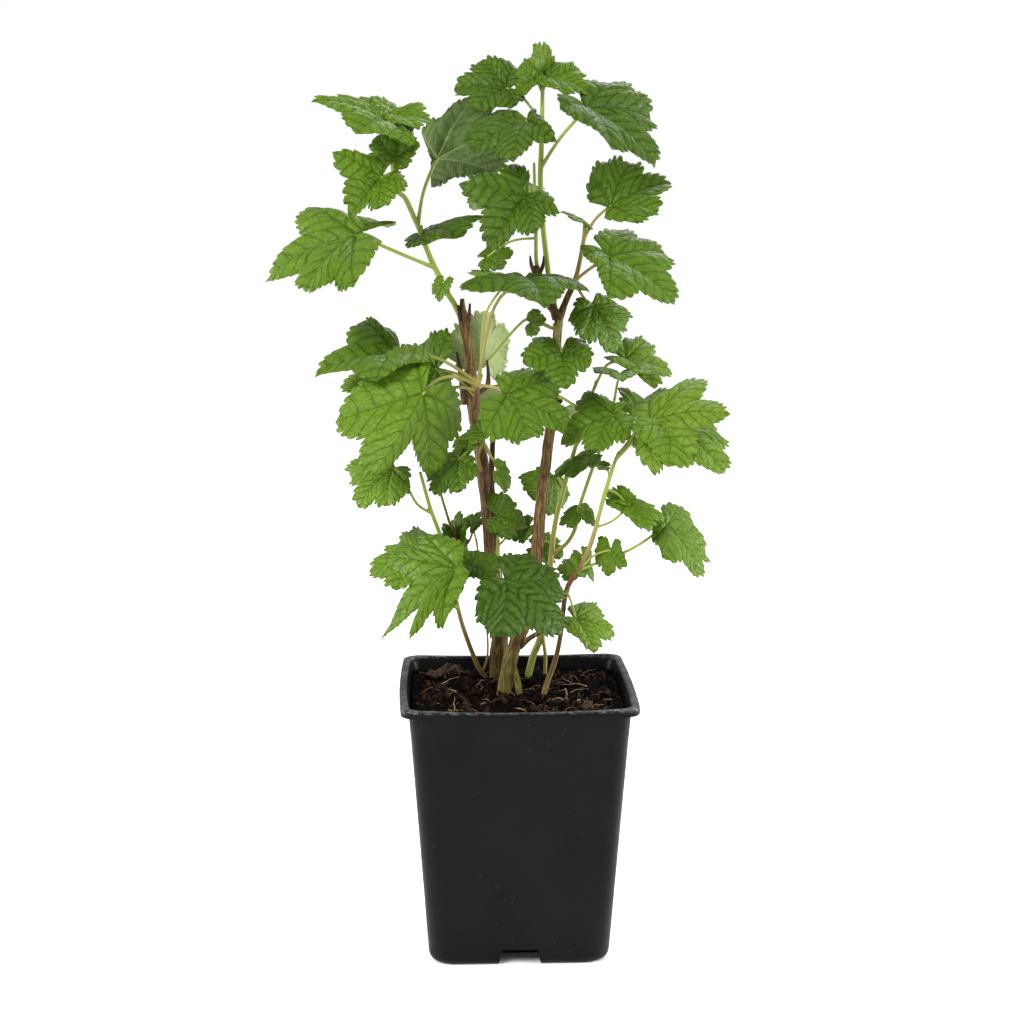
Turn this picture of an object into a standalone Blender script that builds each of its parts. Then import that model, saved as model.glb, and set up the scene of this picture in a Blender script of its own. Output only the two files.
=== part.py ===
"""Young blackcurrant bush in a square black nursery pot, at its real size.

Two woody canes, the green shoots of the year on them and the slender stems beside them stand in a pot
of peat. Z is up, the origin is the middle of the pot's base, and the camera side is towards -Y.
Every place on the plant is a reading in millimetres: across and up on the upright plane through the
pot's axis, and how far the real point stands behind that plane. seen_at() turns a reading into a place.
"""
import bpy
import bmesh
from math import cos, exp, pi, radians, sin
from mathutils import Vector

MM = 0.001

# The pot, a moulded square nursery pot
POT_HEIGHT = 173.0
RIM_HALF = 75.0
RIM_CORNER = 11.0
LIP_DEPTH = 5.0
NECK_HALF = 70.2
BASE_HALF = 58.5
BASE_CORNER = 16.0
BASE_ROUNDING = 6.0
WALL = 1.2
WALL_BOW = 1.6
RIM_SAG = 1.2
NOTCH_WIDTH_TOP = 23.5
NOTCH_WIDTH_BASE = 28.0
NOTCH_HEIGHT = 10.8
NOTCH_DEPTH = 22.0
NOTCH_OVERRUN = 3.0
DRAIN_RADIUS = 4.0
DRAIN_REACH = 0.6

# The peat, and how the planted stems stand in it
SOIL_LEVEL = 162.5
SOIL_SKIN = 12.0
PLANTED_BELOW = 178.0
ROOT_DEPTH = 22.0
HOLE_CLEARANCE = 0.8
GAP = 0.3

# The eye that the readings were taken from, and the plane they lie on
EYE = Vector((-54.0, -1296.0, 510.0))

# A blade: the angle of each vein from the main one, and its length where the main one is 1
VEIN_ANGLES = (0.0, 56.0, 118.0, 180.0)
VEIN_LENGTHS = (1.0, 0.84, 0.62, 0.06)
# The edge of half a blade, from tip to stalk: angle, radius, and the edges up to the next point
EDGE = ((0.0, 1.0, 4), (28.0, 0.66, 3), (56.0, 0.84, 3), (88.0, 0.60, 1), (118.0, 0.62, 1),
        (180.0, 0.06, 0))
SMALL_EDGE = ((0.0, 1.0, 2), (28.0, 0.68, 2), (56.0, 0.84, 2), (118.0, 0.62, 2), (180.0, 0.06, 0))
FAN_CENTRE = 0.18
LOBE_BULGE = 0.2
TOOTH_DEPTH = 0.1
BLADE_THICKNESS = 0.8
BLADE_DOME = 0.07
BLADE_PLEAT = 0.05
SMALL_LEAF = 30.0
# A base vein follows from the side vein next to it and the main vein
BASE_FROM_SIDE = 0.727
BASE_FROM_MAIN = 0.604
# A leaf stalk: thickness at no size and growth with the size of its blade, rise, and overlap of its end
STALK_RADIUS = 0.55
STALK_GROWTH = 0.009
STALK_RISE = 0.12
STALK_OVERLAP = 0.03
STALK_LIFT = 0.008
STALK_FLARE = 1.25
STALK_TAPER = 0.8

# Wood: across, up, behind, diameter
CANES = {
    "cane_left": (
        ((-12.5, 174, 42, 11), (-12, 188, 41, 10.5), (-11, 204, 40, 10), (-14, 235, 38, 9.5),
         (-18, 287, 36, 9), (-23, 324, 34, 8), (-27, 350, 33, 8), (-28.5, 367, 33, 9),
         (-30.5, 388, 33, 6.5), (-32, 410, 33, 5), (-34.5, 423, 33, 4.2)),
        ((-15, 268, 37, 5), (-15.5, 285, 29, 4.2), (-16, 310, 28, 4), (-15, 334, 29, 3.4)),
        ((-33, 356, 33, 5), (-35.5, 375, 29, 4), (-38, 389, 29, 2.6)),
        ((-31, 404, 33, 4), (-29.5, 411, 30, 3), (-29, 420, 30, 2)),
        ((-27, 362, 34, 4), (-18.5, 368, 36, 3.5), (-18.5, 383, 36, 3)),
    ),
    "cane_right": (
        ((-8, 164, 4, 9), (-5, 182, 4, 8.5), (0.5, 201, 5, 7.6), (6, 215, 6, 7.2), (13, 256, 8, 6.6),
         (15.5, 287, 10, 6.4), (18.5, 313, 12, 6), (21, 334, 12, 6), (24, 364, 12, 5.6),
         (26, 399, 12, 5.6), (26.5, 411, 12, 5.6), (20, 421, 12, 4.8), (15, 435, 12, 4.2),
         (12.5, 444, 12, 3.6)),
        ((26, 405, 12, 5), (30, 418, 14, 4.4), (35, 429, 15, 3.8)),
        ((2.5, 196, 5, 4), (9, 202, -1, 3.4), (18, 207, -6, 3)),
        ((22.5, 352, 12, 4), (29, 358, 10, 2.6)),
    ),
}

# Green stems: across, up, behind, diameter. The first stem of a node carries the others.
STEMS = {
    "leafy_shoot_upper_left": (
        ((-38.2, 417, 33, 3.6), (-44, 427, 31, 3.8), (-48.5, 436, 29, 3.8), (-55, 450, 26, 3.6),
         (-61, 466, 23, 3.4), (-64.5, 474, 22, 3.3), (-70, 486, 19, 3.2), (-75, 491, 17, 3),
         (-77.5, 504, 15, 2.8), (-78.5, 520, 14, 2.4), (-78.5, 533, 14, 2)),
    ),
    "leafy_shoot_top": (
        ((23, 425.5, 20, 3), (20.8, 435, 19, 3.5), (16.5, 471, 15, 3.5), (15, 497, 13, 3.4),
         (15.6, 518, 12, 3.2), (16, 538, 12, 2.8), (16.4, 554, 11, 2.2)),
    ),
    "leafy_shoot_top_slim": (
        ((12.4, 449.5, 11, 2.6), (12.3, 468, 8, 2.4), (11.5, 488, 5, 2), (11, 508, 4, 1.6)),
    ),
    "leafy_twig_upper_right": (
        ((36.5, 433.5, 15, 3), (39, 441, 14, 3), (42.5, 459, 13, 2.8), (43.2, 469, 14, 2.4)),
    ),
    "leafy_spur_left": (
        ((-25.5, 359, 22, 4.4), (-24.5, 368, 21, 5), (-22, 376, 21, 4)),
    ),
    "leafy_spur_right": (
        ((25.5, 396, 3.5, 3), (26.5, 403, 3, 3.4), (27.5, 409, 3.5, 2.8)),
    ),
    "leafy_stem_left": (
        ((-19, 174.5, 44, 3.2), (-24.5, 182, 42, 3.2), (-30, 195.5, 38, 3.2), (-35.5, 212, 32, 3),
         (-39.5, 228.5, 27, 3), (-44, 250, 22, 2.8), (-48, 267, 17, 2.8), (-54.5, 285, 12, 2.6),
         (-58, 297, 9, 2.4), (-62, 312, 6, 2)),
        ((-42, 240, 24, 2.6), (-37, 256, 34, 2.4), (-39.5, 270, 40, 2.2), (-43, 278, 42, 2),
         (-49.5, 300, 44, 1.8)),
        ((-39, 258, 36, 2), (-31, 266, 48, 1.6), (-27, 277, 55, 1.4)),
        ((-22, 179, 43, 2), (-19, 190, 50, 1.6), (-19, 205, 54, 1.5), (-22, 235, 58, 1.5),
         (-26, 268, 57, 1.4)),
    ),
    "leafy_spur_front": (
        ((-11, 240, 26, 3), (-12, 250, 24, 3.2), (-12, 268, 22, 2.4)),
    ),
    "leafy_spur_bud": (
        ((-25, 322, 22, 2.6), (-21.5, 330, 21, 3), (-16.5, 322, 19, 2.2)),
    ),
    "leafy_stem_back": (
        ((8, 177, 50, 5), (11, 190, 50, 4.8), (16, 204, 48, 4.6), (21, 240, 44, 4), (25, 277, 40, 3.6),
         (33, 310, 34, 3.2), (38, 328, 30, 2.8), (44, 350, 27, 2.4), (50, 366, 26, 2)),
        ((18.5, 175, 48, 2.8), (19, 190, 48, 2.6), (17.5, 204, 47, 2.4), (20, 222, 46, 2)),
        ((23, 258, 42, 3), (32, 264, 34, 2.8), (38, 274, 29, 2.8), (41, 289, 26, 2.6),
         (49, 313, 22, 2.4), (55.5, 330, 18, 2.2), (60, 345, 15, 2), (63, 358, 12, 1.8)),
    ),
    "leafy_stem_right": (
        ((18, 164, 4, 3.8), (21, 174, 3, 3.6), (25.5, 187, 2, 3.4), (29, 204, 0, 3.2),
         (32.5, 233, -2, 3.4), (40.5, 247, -4, 3.6), (46, 258, -5, 3.2), (51, 273, -6, 3),
         (54, 285, -7, 2.8), (58, 300, -8, 2.8), (64.5, 320, -9, 2.4), (70, 328, -10, 2)),
    ),
}

# The leaves of each node: where the stalk leaves its stem, points the stalk passes, the heart where
# the veins meet, and the tips of the main, left, right, left base and right base veins. A base vein
# that is None follows from the others.
LEAVES = {
    "leafy_shoot_upper_left": (
        ((-54.5, 441), ((-71.6, 450.7, 16),), (-101, 463.5, 6), (-161, 437, 19),
         (-133.5, 431.5, -32), (-132, 483.5, 49), (-104.5, 436, -45), (-84, 470, 13)),
        ((-61, 469.5), ((-58.5, 490, 26),), (-50, 511, 34), (-11, 531, 48),
         (-27, 506, 68), (-33, 548, 36), None, (-62, 528, 22)),
        ((-73, 489), (), (-85, 499, 6), (-105, 475.5, -14),
         (-87, 480.5, -21), (-115, 516, -3), (-69, 496, -8), (-82, 509, 12)),
        ((-77, 504), (), (-76.5, 510, 10), (-67, 533, 15),
         (-89, 525, 18), (-61, 519, -1), None, (-70, 505.5, -1)),
        ((-78, 529), (), (-81, 533, 8), (-127, 548, -1),
         (-100, 525, -27), (-103, 551, 33), None, None),
        ((-78.5, 531), (), (-77.5, 537, 22), (-90.5, 549.5, 22),
         (-88, 541, 10), (-80, 547.5, 33), None, None),
        ((-78.5, 532), (), (-75, 537, 14), (-52, 533.5, 16),
         (-58, 545, 26), (-61, 530, -1), (-70, 543.5, 22), None),
        ((-48.5, 436), (), (-46, 433, 20), (-49.5, 421, 18),
         (-43.5, 427, 11), (-54.5, 428, 24), (-40.5, 436, 13), (-50.5, 437, 25)),
        ((-61, 466), (), (-58, 464, 30), (-19, 476, 30),
         (-36, 471, 59), (-34, 465, 1), None, None),
    ),
    "leafy_shoot_top": (
        ((16.4, 553), (), (15, 561, 10), (19.5, 581, 18),
         (12, 580.5, 1), (25, 569, 25), (9.5, 568, -2), None),
        ((16.4, 552), (), (21.5, 560, 8), (46, 551.5, 3),
         (41, 566, 18), (31, 551, -11), None, None),
        ((16.3, 551), (), (11, 560, 10), (-2, 549, 18),
         (5, 550, 2), (1, 568, 19), None, None),
        ((16, 530), (), (-12, 555, 30), (-37.5, 554.5, 37),
         (-27, 545, 10), (-22, 569.5, 43), None, (-5.5, 566, 36)),
        ((16, 524), (), (6, 534, -6), (-3, 510.5, -39),
         (24, 524.5, -34), (-29, 517, -9), (12, 539.5, -3), (-21, 538, 18)),
        ((19.7, 504.7), ((28, 524, 6),), (44, 541.5, -4), (89, 507, -11),
         (87, 538, 22), (62, 519, -45), (60, 560, 23), (30, 544, -29)),
    ),
    "leafy_shoot_top_slim": (
        ((12, 475), ((7.5, 478, 0),), (5.5, 487, -22), (-18, 453, -41),
         (12, 466, -55), (-36, 497, -28), (26, 478.5, -48), (-1, 508.5, -14)),
        ((12.3, 462), (), (-19, 449, 8), (-2, 453, 5),
         (-10, 458, 17), (-9, 442, -2), None, None),
        ((11.5, 488), (), (-6, 490, 50), (-10, 472, 88),
         (-30, 482, 62), (16, 482, 66), None, None),
    ),
    "leafy_twig_upper_right": (
        ((44, 462), ((50, 473, 10),), (59.5, 481.5, 6), (96.5, 497, 9),
         (70, 509.5, 24), (86, 481, -20), (50, 505, 23), (76, 474.5, -24)),
        ((37.5, 432.5), ((45, 440.5, 6),), (58.5, 449.7, -8), (102, 421.5, -28),
         (95.5, 453, 9), (60, 427, -48), (64, 467.5, 17), (44.5, 453, -18)),
        ((43.2, 466), (), (42.5, 470.5, 18), (27, 478.5, 17),
         (36, 473, 6), (34, 476, 29), None, None),
        ((38.5, 427), ((43.5, 422.5, 10),), (49, 418.5, 4), (64, 388, -3),
         (72, 408.3, 15), (42, 398, -16), (66, 420, 17), (35.5, 413, -10)),
    ),
    "leafy_spur_left": (
        ((-25, 370), (), (-76, 388, 14), (-129, 376.5, 7),
         (-90, 375.5, -28), (-98, 411, 39), None, (-76, 403, 32)),
        ((-25.5, 368), ((-39.5, 373.5, 14), (-51, 371, -6),), (-59.5, 363, -26), (-92, 308, -59),
         (-56, 311, -14), (-114, 346, -22), (-35, 349, 6), (-68, 394.5, 2)),
        ((-27, 360), (), (-51.5, 378.5, 22), (-76, 374, 39),
         (-60, 354, 27), (-60, 396, 41), (-43, 366, 16), (-43.5, 401, 29)),
        ((-26, 372), (), (-88, 372, 34), (-113, 368, 39),
         (-103, 357, 22), (-100, 382, 50), None, None),
        ((-17.5, 366.5), ((-12, 366, 0),), (-6, 361.5, -22), (35, 340.5, -22),
         (25, 373, -1), (8.5, 334.5, -49), (2, 378.5, -5), (-20, 338, -56)),
        ((-20.5, 368), ((-14, 418, 6),), (6, 436, -4), (18, 422, -58),
         (46.5, 431, -28), (-35.5, 432, -30), (26, 434, 2), (-17, 434, 4)),
        ((-20, 372), ((-20, 412, 20),), (-6, 433, 26), (-31, 441, 32),
         (-22, 433, 10), (-18, 441, 46), None, None),
        ((-25, 364), ((-42, 366, 24),), (-66, 352, 62), (-76, 332, 102),
         (-98, 345, 72), (-42, 345, 88), None, None),
    ),
    "leafy_spur_right": (
        ((26, 397), (), (29, 389, -6), (32, 366, -29),
         (48, 382.7, -23), (4, 382.7, -19), None, (15, 399, 0)),
        ((26.5, 403), ((20, 405, 6), (14, 407.5, 24), (4, 408.5, 40)), (-19.5, 382, 44),
         (-20, 416, 37), (-5.5, 402, 62), (-43, 402, 42), (-9, 378, 60), (-46, 388, 45)),
        ((26, 402), (), (9, 408, 2), (18.5, 410, -6),
         (13.5, 416.5, 1), (12.5, 400, -5), None, None),
    ),
    "leafy_stem_left": (
        ((-39.5, 223), ((-46, 229, 10),), (-38.6, 248.5, -28), (-91, 204.5, -15),
         (-70.5, 205, -72), (-86, 257, 12), (-50, 213, -68), (-60, 272, 0)),
        ((-48, 267), (), (-58, 257, 10), (-96.4, 249, 15),
         (-79, 236, -13), (-78, 267, 38), None, (-62, 275.5, 40)),
        ((-40, 235), (), (-34, 251, 12), (-3.5, 252.5, 8),
         (-19, 260, 20), (-17, 243, -10), None, None),
        ((-44, 250), (), (-54, 250, 60), (-62, 232, 96),
         (-80, 243, 68), (-32, 243, 84), None, None),
        ((-45, 255), (), (-40, 262, 40), (-47, 279, 45),
         (-50, 268, 32), (-34, 272, 51), None, None),
        ((-43, 278), (), (-38.5, 270, 46), (-37, 287, 52),
         (-44, 278, 58), (-32, 280, 38), None, None),
        ((-27, 262), (), (-29, 277, 56), (-22, 287, 59),
         (-31.5, 284, 64), (-22, 279, 50), None, None),
        ((-55, 284), ((-64, 291, 10), (-71.5, 304.5, 14),), (-79.5, 314, 18), (-103, 290, 11),
         (-84, 291, -6), (-107.5, 310, 31), (-69.5, 303, -4), (-99, 322, 36)),
    ),
    "leafy_spur_front": (
        ((-11, 240), ((-9, 236, -4),), (-5.6, 240, -44), (30.6, 205.5, -60),
         (30, 238, -28), (-10.5, 205, -73), (3, 258.4, -18), (-25, 222, -64)),
        ((-13, 262), (), (-12, 283, 14), (7, 278, 23),
         (-4, 297, 27), (-4, 267, 13), None, None),
        ((-12, 262), (), (8, 276, 29), (-3, 267, 32),
         (4, 265, 24), (-1, 279, 38), None, None),
    ),
    "leafy_spur_bud": (
        ((-22, 326), (), (-37, 320, 6), (-54, 298, -5),
         (-37, 299.5, -14), (-57.5, 310, 17), (-26, 313, -7), None),
        ((-21, 330), (), (-22, 338, 14), (-33, 336, 18),
         (-29, 330, 10), (-28, 343, 21), None, None),
        ((-21, 330), (), (-29.5, 333, 20), (-41, 322, 21),
         (-33, 321, 11), (-41, 331, 29), None, None),
        ((-15.5, 320), (), (-12, 312, 10), (-3, 303, 19),
         (-5, 316, 22), (-7, 298, 5), None, None),
    ),
    "leafy_stem_back": (
        ((24, 300), (), (24, 308, 58), (21.5, 282.5, 51),
         (33.5, 291, 66), (10, 295, 45), (31, 308, 66), (5, 310, 47)),
        ((33, 310), (), (46, 321, 26), (22.5, 309.5, 29),
         (36, 308.5, 9), (35, 321, 46), None, None),
        ((23, 262), (), (13, 262, 60), (31, 257, 60),
         (26, 270, 67), (21.5, 251, 48), None, None),
        ((22, 248), (), (38, 247, 34), (26.5, 248, 31),
         (31, 240, 34), (31, 254.5, 39), None, None),
        ((40, 288), (), (42, 285, 24), (27, 277.5, 26),
         (36, 275.5, 14), (33, 288, 36), None, None),
        ((41.5, 290), (), (43.5, 286, 20), (51, 276, 19),
         (51, 284, 26), (45.5, 278, 11), None, None),
        ((38, 328), (), (62.5, 348.5, -4), (27, 331, 4),
         (50, 326, -25), (42, 365, 19), (72, 335, -34), (62, 357.5, 5)),
        ((50, 366), ((57, 379.5, 22), (64, 383, 18),), (70, 384, 14), (101, 376, 22),
         (84, 397, 35), (90, 367, -3), (68, 397, 26), (59, 385.5, 4)),
        ((63.5, 358), (), (66.4, 375, 6), (68, 371, -20),
         (87, 377, -6), (50, 377, -6), None, None),
        ((60, 345), (), (78, 352, 20), (66, 367, 26),
         (66.5, 355, 13), (80, 361.5, 34), None, None),
        ((38, 328), (), (50, 350, 72), (52, 334, 104),
         (30, 344, 84), (72, 344, 86), None, None),
        ((44, 350), (), (0, 362, 66), (6, 345, 104),
         (-24, 355, 80), (28, 355, 80), None, None),
    ),
    "leafy_stem_right": (
        ((32, 232), (), (38.6, 215, -12), (65.6, 204.5, -8),
         (54.5, 222.5, 7), (51.6, 192, -27), (43, 226, 5), (32, 210, -23)),
        ((40.5, 247), ((73.7, 260, -2),), (97.5, 276, 4), (120, 242.5, -17),
         (125, 257, 14), (97.5, 257, -30), (106, 290, 35), (90.5, 268, -8)),
        ((40, 246), (), (61.3, 260, -12), (59, 242.5, -18),
         (72, 249.5, -18), (51, 252, -6), (66, 267.3, -11), (54, 269.5, -1)),
        ((42, 250), (), (43, 256, 6), (52, 239, 3),
         (49, 250, 17), (41.5, 243, -7), (48, 262.5, 16), None),
        ((58, 299), (), (72, 290, -2), (59, 299, 7),
         (58, 290.5, -6), (69, 303, -1), None, None),
        ((54, 274.5), ((62, 279, -6),), (73, 288.5, -8), (97.5, 282, -6),
         (86, 291.5, 8), (87, 273.5, -23), None, (79, 277, -23)),
        ((59, 306), (), (58.5, 315, -2), (50.5, 316, 0),
         (53, 313, -6), (54, 319, 3), None, None),
        ((64.5, 321), ((78, 336, -12),), (86, 345, -16), (137, 351, -39),
         (119, 373, 1), (111, 321, -53), (86, 363, 13), (88, 313, -45)),
        ((64.5, 320), (), (98, 340.5, -24), (136, 312.5, -45),
         (133.5, 335.5, -9), (99, 317, -58), None, None),
        ((64.5, 320), (), (100, 350, 44), (110, 332, 80),
         (84, 343, 64), (124, 343, 60), None, None),
    ),
}

WOOD, LEAF, PEAT, PLASTIC = "bark", "leaf", "peat", "black plastic"
COLOURS = {
    WOOD: (0.105, 0.062, 0.038, 1.0),
    LEAF: (0.085, 0.205, 0.022, 1.0),
    PEAT: (0.012, 0.007, 0.005, 1.0),
    PLASTIC: (0.017, 0.018, 0.019, 1.0),
}
ROUGHNESS = {WOOD: 0.8, LEAF: 0.5, PEAT: 0.95, PLASTIC: 0.45}


def clear_scene():
    for item in list(bpy.data.objects):
        bpy.data.objects.remove(item, do_unlink=True)


def new_collection(name):
    group = bpy.data.collections.new(name)
    bpy.context.scene.collection.children.link(group)
    return group


def finish_of(kind):
    """The material of one kind of piece, made once."""
    material = bpy.data.materials.get(kind)
    if material is None:
        material = bpy.data.materials.new(kind)
        material.use_nodes = True
        shader = material.node_tree.nodes["Principled BSDF"]
        shader.inputs["Base Color"].default_value = COLOURS[kind]
        shader.inputs["Roughness"].default_value = ROUGHNESS[kind]
        material.diffuse_color = COLOURS[kind]
    return material


def seen_at(across, up, behind):
    """The place, in metres, of a point read at (across, up) that stands this far behind the plane."""
    reach = 1.0 - behind / EYE.y
    return Vector((EYE.x + (across - EYE.x) * reach, behind, EYE.z + (up - EYE.z) * reach)) * MM


def smooth_route(points, pieces=3):
    """Points on the Catmull-Rom curve through the given tuples, with this many pieces to a span."""
    ends = [points[0]] + list(points) + [points[-1]]
    route = []
    for before, start, end, after in zip(ends, ends[1:], ends[2:], ends[3:]):
        for piece in range(pieces):
            t = piece / pieces
            route.append(tuple(
                0.5 * (2 * b + (c - a) * t + (2 * a - 5 * b + 4 * c - d) * t * t
                       + (3 * b - a - 3 * c + d) * t ** 3)
                for a, b, c, d in zip(before, start, end, after)))
    route.append(tuple(points[-1]))
    return route


def mesh_object(name, mesh, kind, group):
    piece = bpy.data.objects.new(name, mesh)
    piece.data.materials.clear()
    piece.data.materials.append(finish_of(kind))
    group.objects.link(piece)
    return piece


def tube(name, points, radii, kind, group, resolution=1):
    """A closed tube of changing thickness: a bevelled curve, made a mesh with its caps welded on."""
    curve = bpy.data.curves.new(name, "CURVE")
    curve.dimensions = "3D"
    curve.bevel_depth = 1.0 * MM
    curve.bevel_resolution = resolution
    curve.use_fill_caps = True
    spline = curve.splines.new("POLY")
    spline.points.add(len(points) - 1)
    for knot, place, radius in zip(spline.points, points, radii):
        knot.co = (*place, 1.0)
        knot.radius = radius
    guide = bpy.data.objects.new(name + "_guide", curve)
    group.objects.link(guide)
    bpy.context.view_layer.update()
    evaluated = guide.evaluated_get(bpy.context.evaluated_depsgraph_get())
    mesh = bpy.data.meshes.new_from_object(evaluated)
    shape = bmesh.new()
    shape.from_mesh(mesh)
    bmesh.ops.remove_doubles(shape, verts=shape.verts, dist=0.01 * MM)
    bmesh.ops.recalc_face_normals(shape, faces=shape.faces)
    shape.to_mesh(mesh)
    shape.free()
    piece = mesh_object(name, mesh, kind, group)
    piece.matrix_world = guide.matrix_world.copy()
    bpy.data.objects.remove(guide)
    return piece


def stem(name, readings, kind, group, resolution=1, planted=False, pieces=1):
    """One stem through its readings; a planted one goes on straight down into the peat."""
    route = smooth_route(readings, pieces)
    points = [seen_at(*reading[:3]) for reading in route]
    radii = [reading[3] / 2 for reading in route]
    if planted:
        points.insert(0, points[0] - Vector((0, 0, ROOT_DEPTH * MM)))
        radii.insert(0, radii[0])
    return tube(name, points, radii, kind, group, resolution)


def nearest_on(stems, joint):
    """The reading on these stems that looks nearest to the joint."""
    candidates = [reading for readings in stems for reading in smooth_route(readings, 6)]
    return min(candidates, key=lambda r: (r[0] - joint[0]) ** 2 + (r[1] - joint[1]) ** 2)


def edge_radius(edge, angle):
    """The plain edge of a blade at an angle from its main vein: straight between stations, bulged."""
    for (start, near, _), (end, far, _) in zip(edge, edge[1:]):
        if angle <= end:
            span, past = radians(end - start), radians(angle - start)
            straight = near * far * sin(span) / (near * sin(past) + far * sin(span - past))
            return straight * (1 + LOBE_BULGE * sin(pi * past / span))
    return edge[-1][1]


def half_edge(edge):
    """Angles and radii of half a toothed edge, from the tip to the stalk."""
    points = []
    for (start, _, steps), (end, _, _) in zip(edge, edge[1:]):
        for step in range(steps):
            angle = start + (end - start) * step / steps
            notch = 1 - TOOTH_DEPTH if step % 2 else 1.0
            points.append((angle, edge_radius(edge, angle) * notch))
    points.append((180.0, edge[-1][1]))
    return points


def on_blade(heart, veins, side, angle, radius):
    """Place on a blade: a mix of the two veins on either side of the angle."""
    fan = (veins[0], veins[1 + side], veins[3 + side], -veins[0] * VEIN_LENGTHS[3])
    for index in range(3):
        start, end = VEIN_ANGLES[index], VEIN_ANGLES[index + 1]
        if angle <= end:
            break
    spread = sin(radians(end - start))
    first = radius * sin(radians(end - angle)) / (VEIN_LENGTHS[index] * spread)
    second = radius * sin(radians(angle - start)) / (VEIN_LENGTHS[index + 1] * spread)
    return heart + fan[index] * first + fan[index + 1] * second


def blade(name, heart, veins, upward, group):
    """One lobed, toothed blade, given its thickness. Its triangles are laid over the bent fan of veins."""
    size = veins[0].length
    small = size < SMALL_LEAF * MM
    half = half_edge(SMALL_EDGE if small else EDGE)
    rim = [(0, angle, radius) for angle, radius in half]
    rim += [(1, angle, radius) for angle, radius in reversed(half[1:-1])]
    shape = bmesh.new()

    def vertex(side, angle, radius, reach):
        pleat = sin(pi * angle / VEIN_ANGLES[1]) ** 2 if angle < VEIN_ANGLES[2] else 0.0
        lift = (BLADE_DOME * sin(pi * reach) + BLADE_PLEAT * pleat * reach) * radius
        return shape.verts.new(on_blade(heart, veins, side, angle, radius * reach) + upward * lift * size)

    middle = vertex(0, 0.0, 1.0, FAN_CENTRE)
    outer = [vertex(side, angle, radius, 1.0) for side, angle, radius in rim]
    if small:
        inner = None
    else:
        inner = [vertex(side, angle, radius, 0.5) for side, angle, radius in rim[::2]]
    for index in range(len(outer)):
        after = (index + 1) % len(outer)
        if small:
            shape.faces.new((middle, outer[index], outer[after]))
        elif index % 2 == 0:
            here, there = inner[index // 2], inner[(index // 2 + 1) % len(inner)]
            beyond = outer[(index + 2) % len(outer)]
            shape.faces.new((here, outer[index], outer[after]))
            shape.faces.new((here, outer[after], there))
            shape.faces.new((there, outer[after], beyond))
            shape.faces.new((middle, here, there))
    bmesh.ops.recalc_face_normals(shape, faces=shape.faces)
    mesh = bpy.data.meshes.new(name)
    shape.to_mesh(mesh)
    shape.free()
    piece = mesh_object(name, mesh, LEAF, group)
    thickness = piece.modifiers.new("Thickness", "SOLIDIFY")
    thickness.thickness = BLADE_THICKNESS * MM
    thickness.offset = 0.0
    return piece


def leaf(name, row, stems, group):
    """A leaf: its blade, and its stalk from inside the stem to just past the blade's heart."""
    joint, passing, heart_reading, tip, left, right, left_base, right_base = row
    heart = seen_at(*heart_reading)
    main, left, right = (seen_at(*reading) - heart for reading in (tip, left, right))
    bases = []
    for reading, beside in ((left_base, left), (right_base, right)):
        if reading is None:
            bases.append(BASE_FROM_SIDE * beside - BASE_FROM_MAIN * main)
        else:
            bases.append(seen_at(*reading) - heart)
    veins = (main, left, right, *bases)
    size = main.length
    upward = (right.cross(main) + main.cross(left)).normalized()
    start = nearest_on(stems, joint)
    thickness = STALK_RADIUS + STALK_GROWTH * size / MM
    if passing:
        route = smooth_route([start[:3], *passing, heart_reading], 2)
        points = [seen_at(*reading) for reading in route]
    else:
        root = seen_at(*start[:3])
        rise = Vector((0, 0, STALK_RISE * (heart - root).length))
        points = [root, root.lerp(heart, 0.5) + rise, heart]
    points[-1] = heart + main * STALK_OVERLAP + upward * STALK_LIFT * size
    radii = [thickness * STALK_FLARE] + [thickness] * (len(points) - 2) + [thickness * STALK_TAPER]
    return [tube(name + "_stalk", points, radii, LEAF, group, 0),
            blade(name + "_blade", heart, veins, upward, group)]


def fuse(name, pieces, group):
    """Unite the pieces with the first of them in one Boolean on a collection, and apply it."""
    base, rest = pieces[0], pieces[1:]
    added = new_collection(name + "_added")
    for piece in rest:
        group.objects.unlink(piece)
        added.objects.link(piece)
    union = base.modifiers.new("Union", "BOOLEAN")
    union.operation = "UNION"
    union.operand_type = "COLLECTION"
    union.collection = added
    union.solver = "MANIFOLD"
    apply_modifiers(base)
    for piece in rest:
        bpy.data.objects.remove(piece)
    bpy.data.collections.remove(added)
    base.name = name
    base.data.name = name
    base.data.shade_smooth()
    base.data.set_sharp_from_angle(angle=radians(40))
    return base


def apply_modifiers(piece):
    bpy.context.view_layer.update()
    evaluated = piece.evaluated_get(bpy.context.evaluated_depsgraph_get())
    mesh = bpy.data.meshes.new_from_object(evaluated)
    piece.modifiers.clear()
    piece.data = mesh


def square_ring(half, corner, height, steps_on_side=4, steps_on_corner=3, lift=None):
    """Points round a square with rounded corners, its sides bowed a little where the pot is high."""
    share = height / POT_HEIGHT
    centre = half - corner
    ring = []
    for turn in range(4):
        quarter = pi / 2 * turn
        for step in range(steps_on_corner + 1):
            angle = quarter + pi / 2 * step / steps_on_corner
            ring.append((cos(quarter + pi / 4) * centre * 2 ** 0.5 + corner * cos(angle),
                         sin(quarter + pi / 4) * centre * 2 ** 0.5 + corner * sin(angle), 0.0))
        for step in range(1, steps_on_side):
            along = 1 - 2 * step / steps_on_side
            bow = (1 - along * along) * share * share
            out, side = half + WALL_BOW * bow, centre * along
            ring.append((side * cos(quarter) - out * sin(quarter),
                         side * sin(quarter) + out * cos(quarter), -RIM_SAG * bow))
    return [Vector((x, y, height + dz + (lift(x, y) if lift else 0.0))) * MM for x, y, dz in ring]


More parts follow.
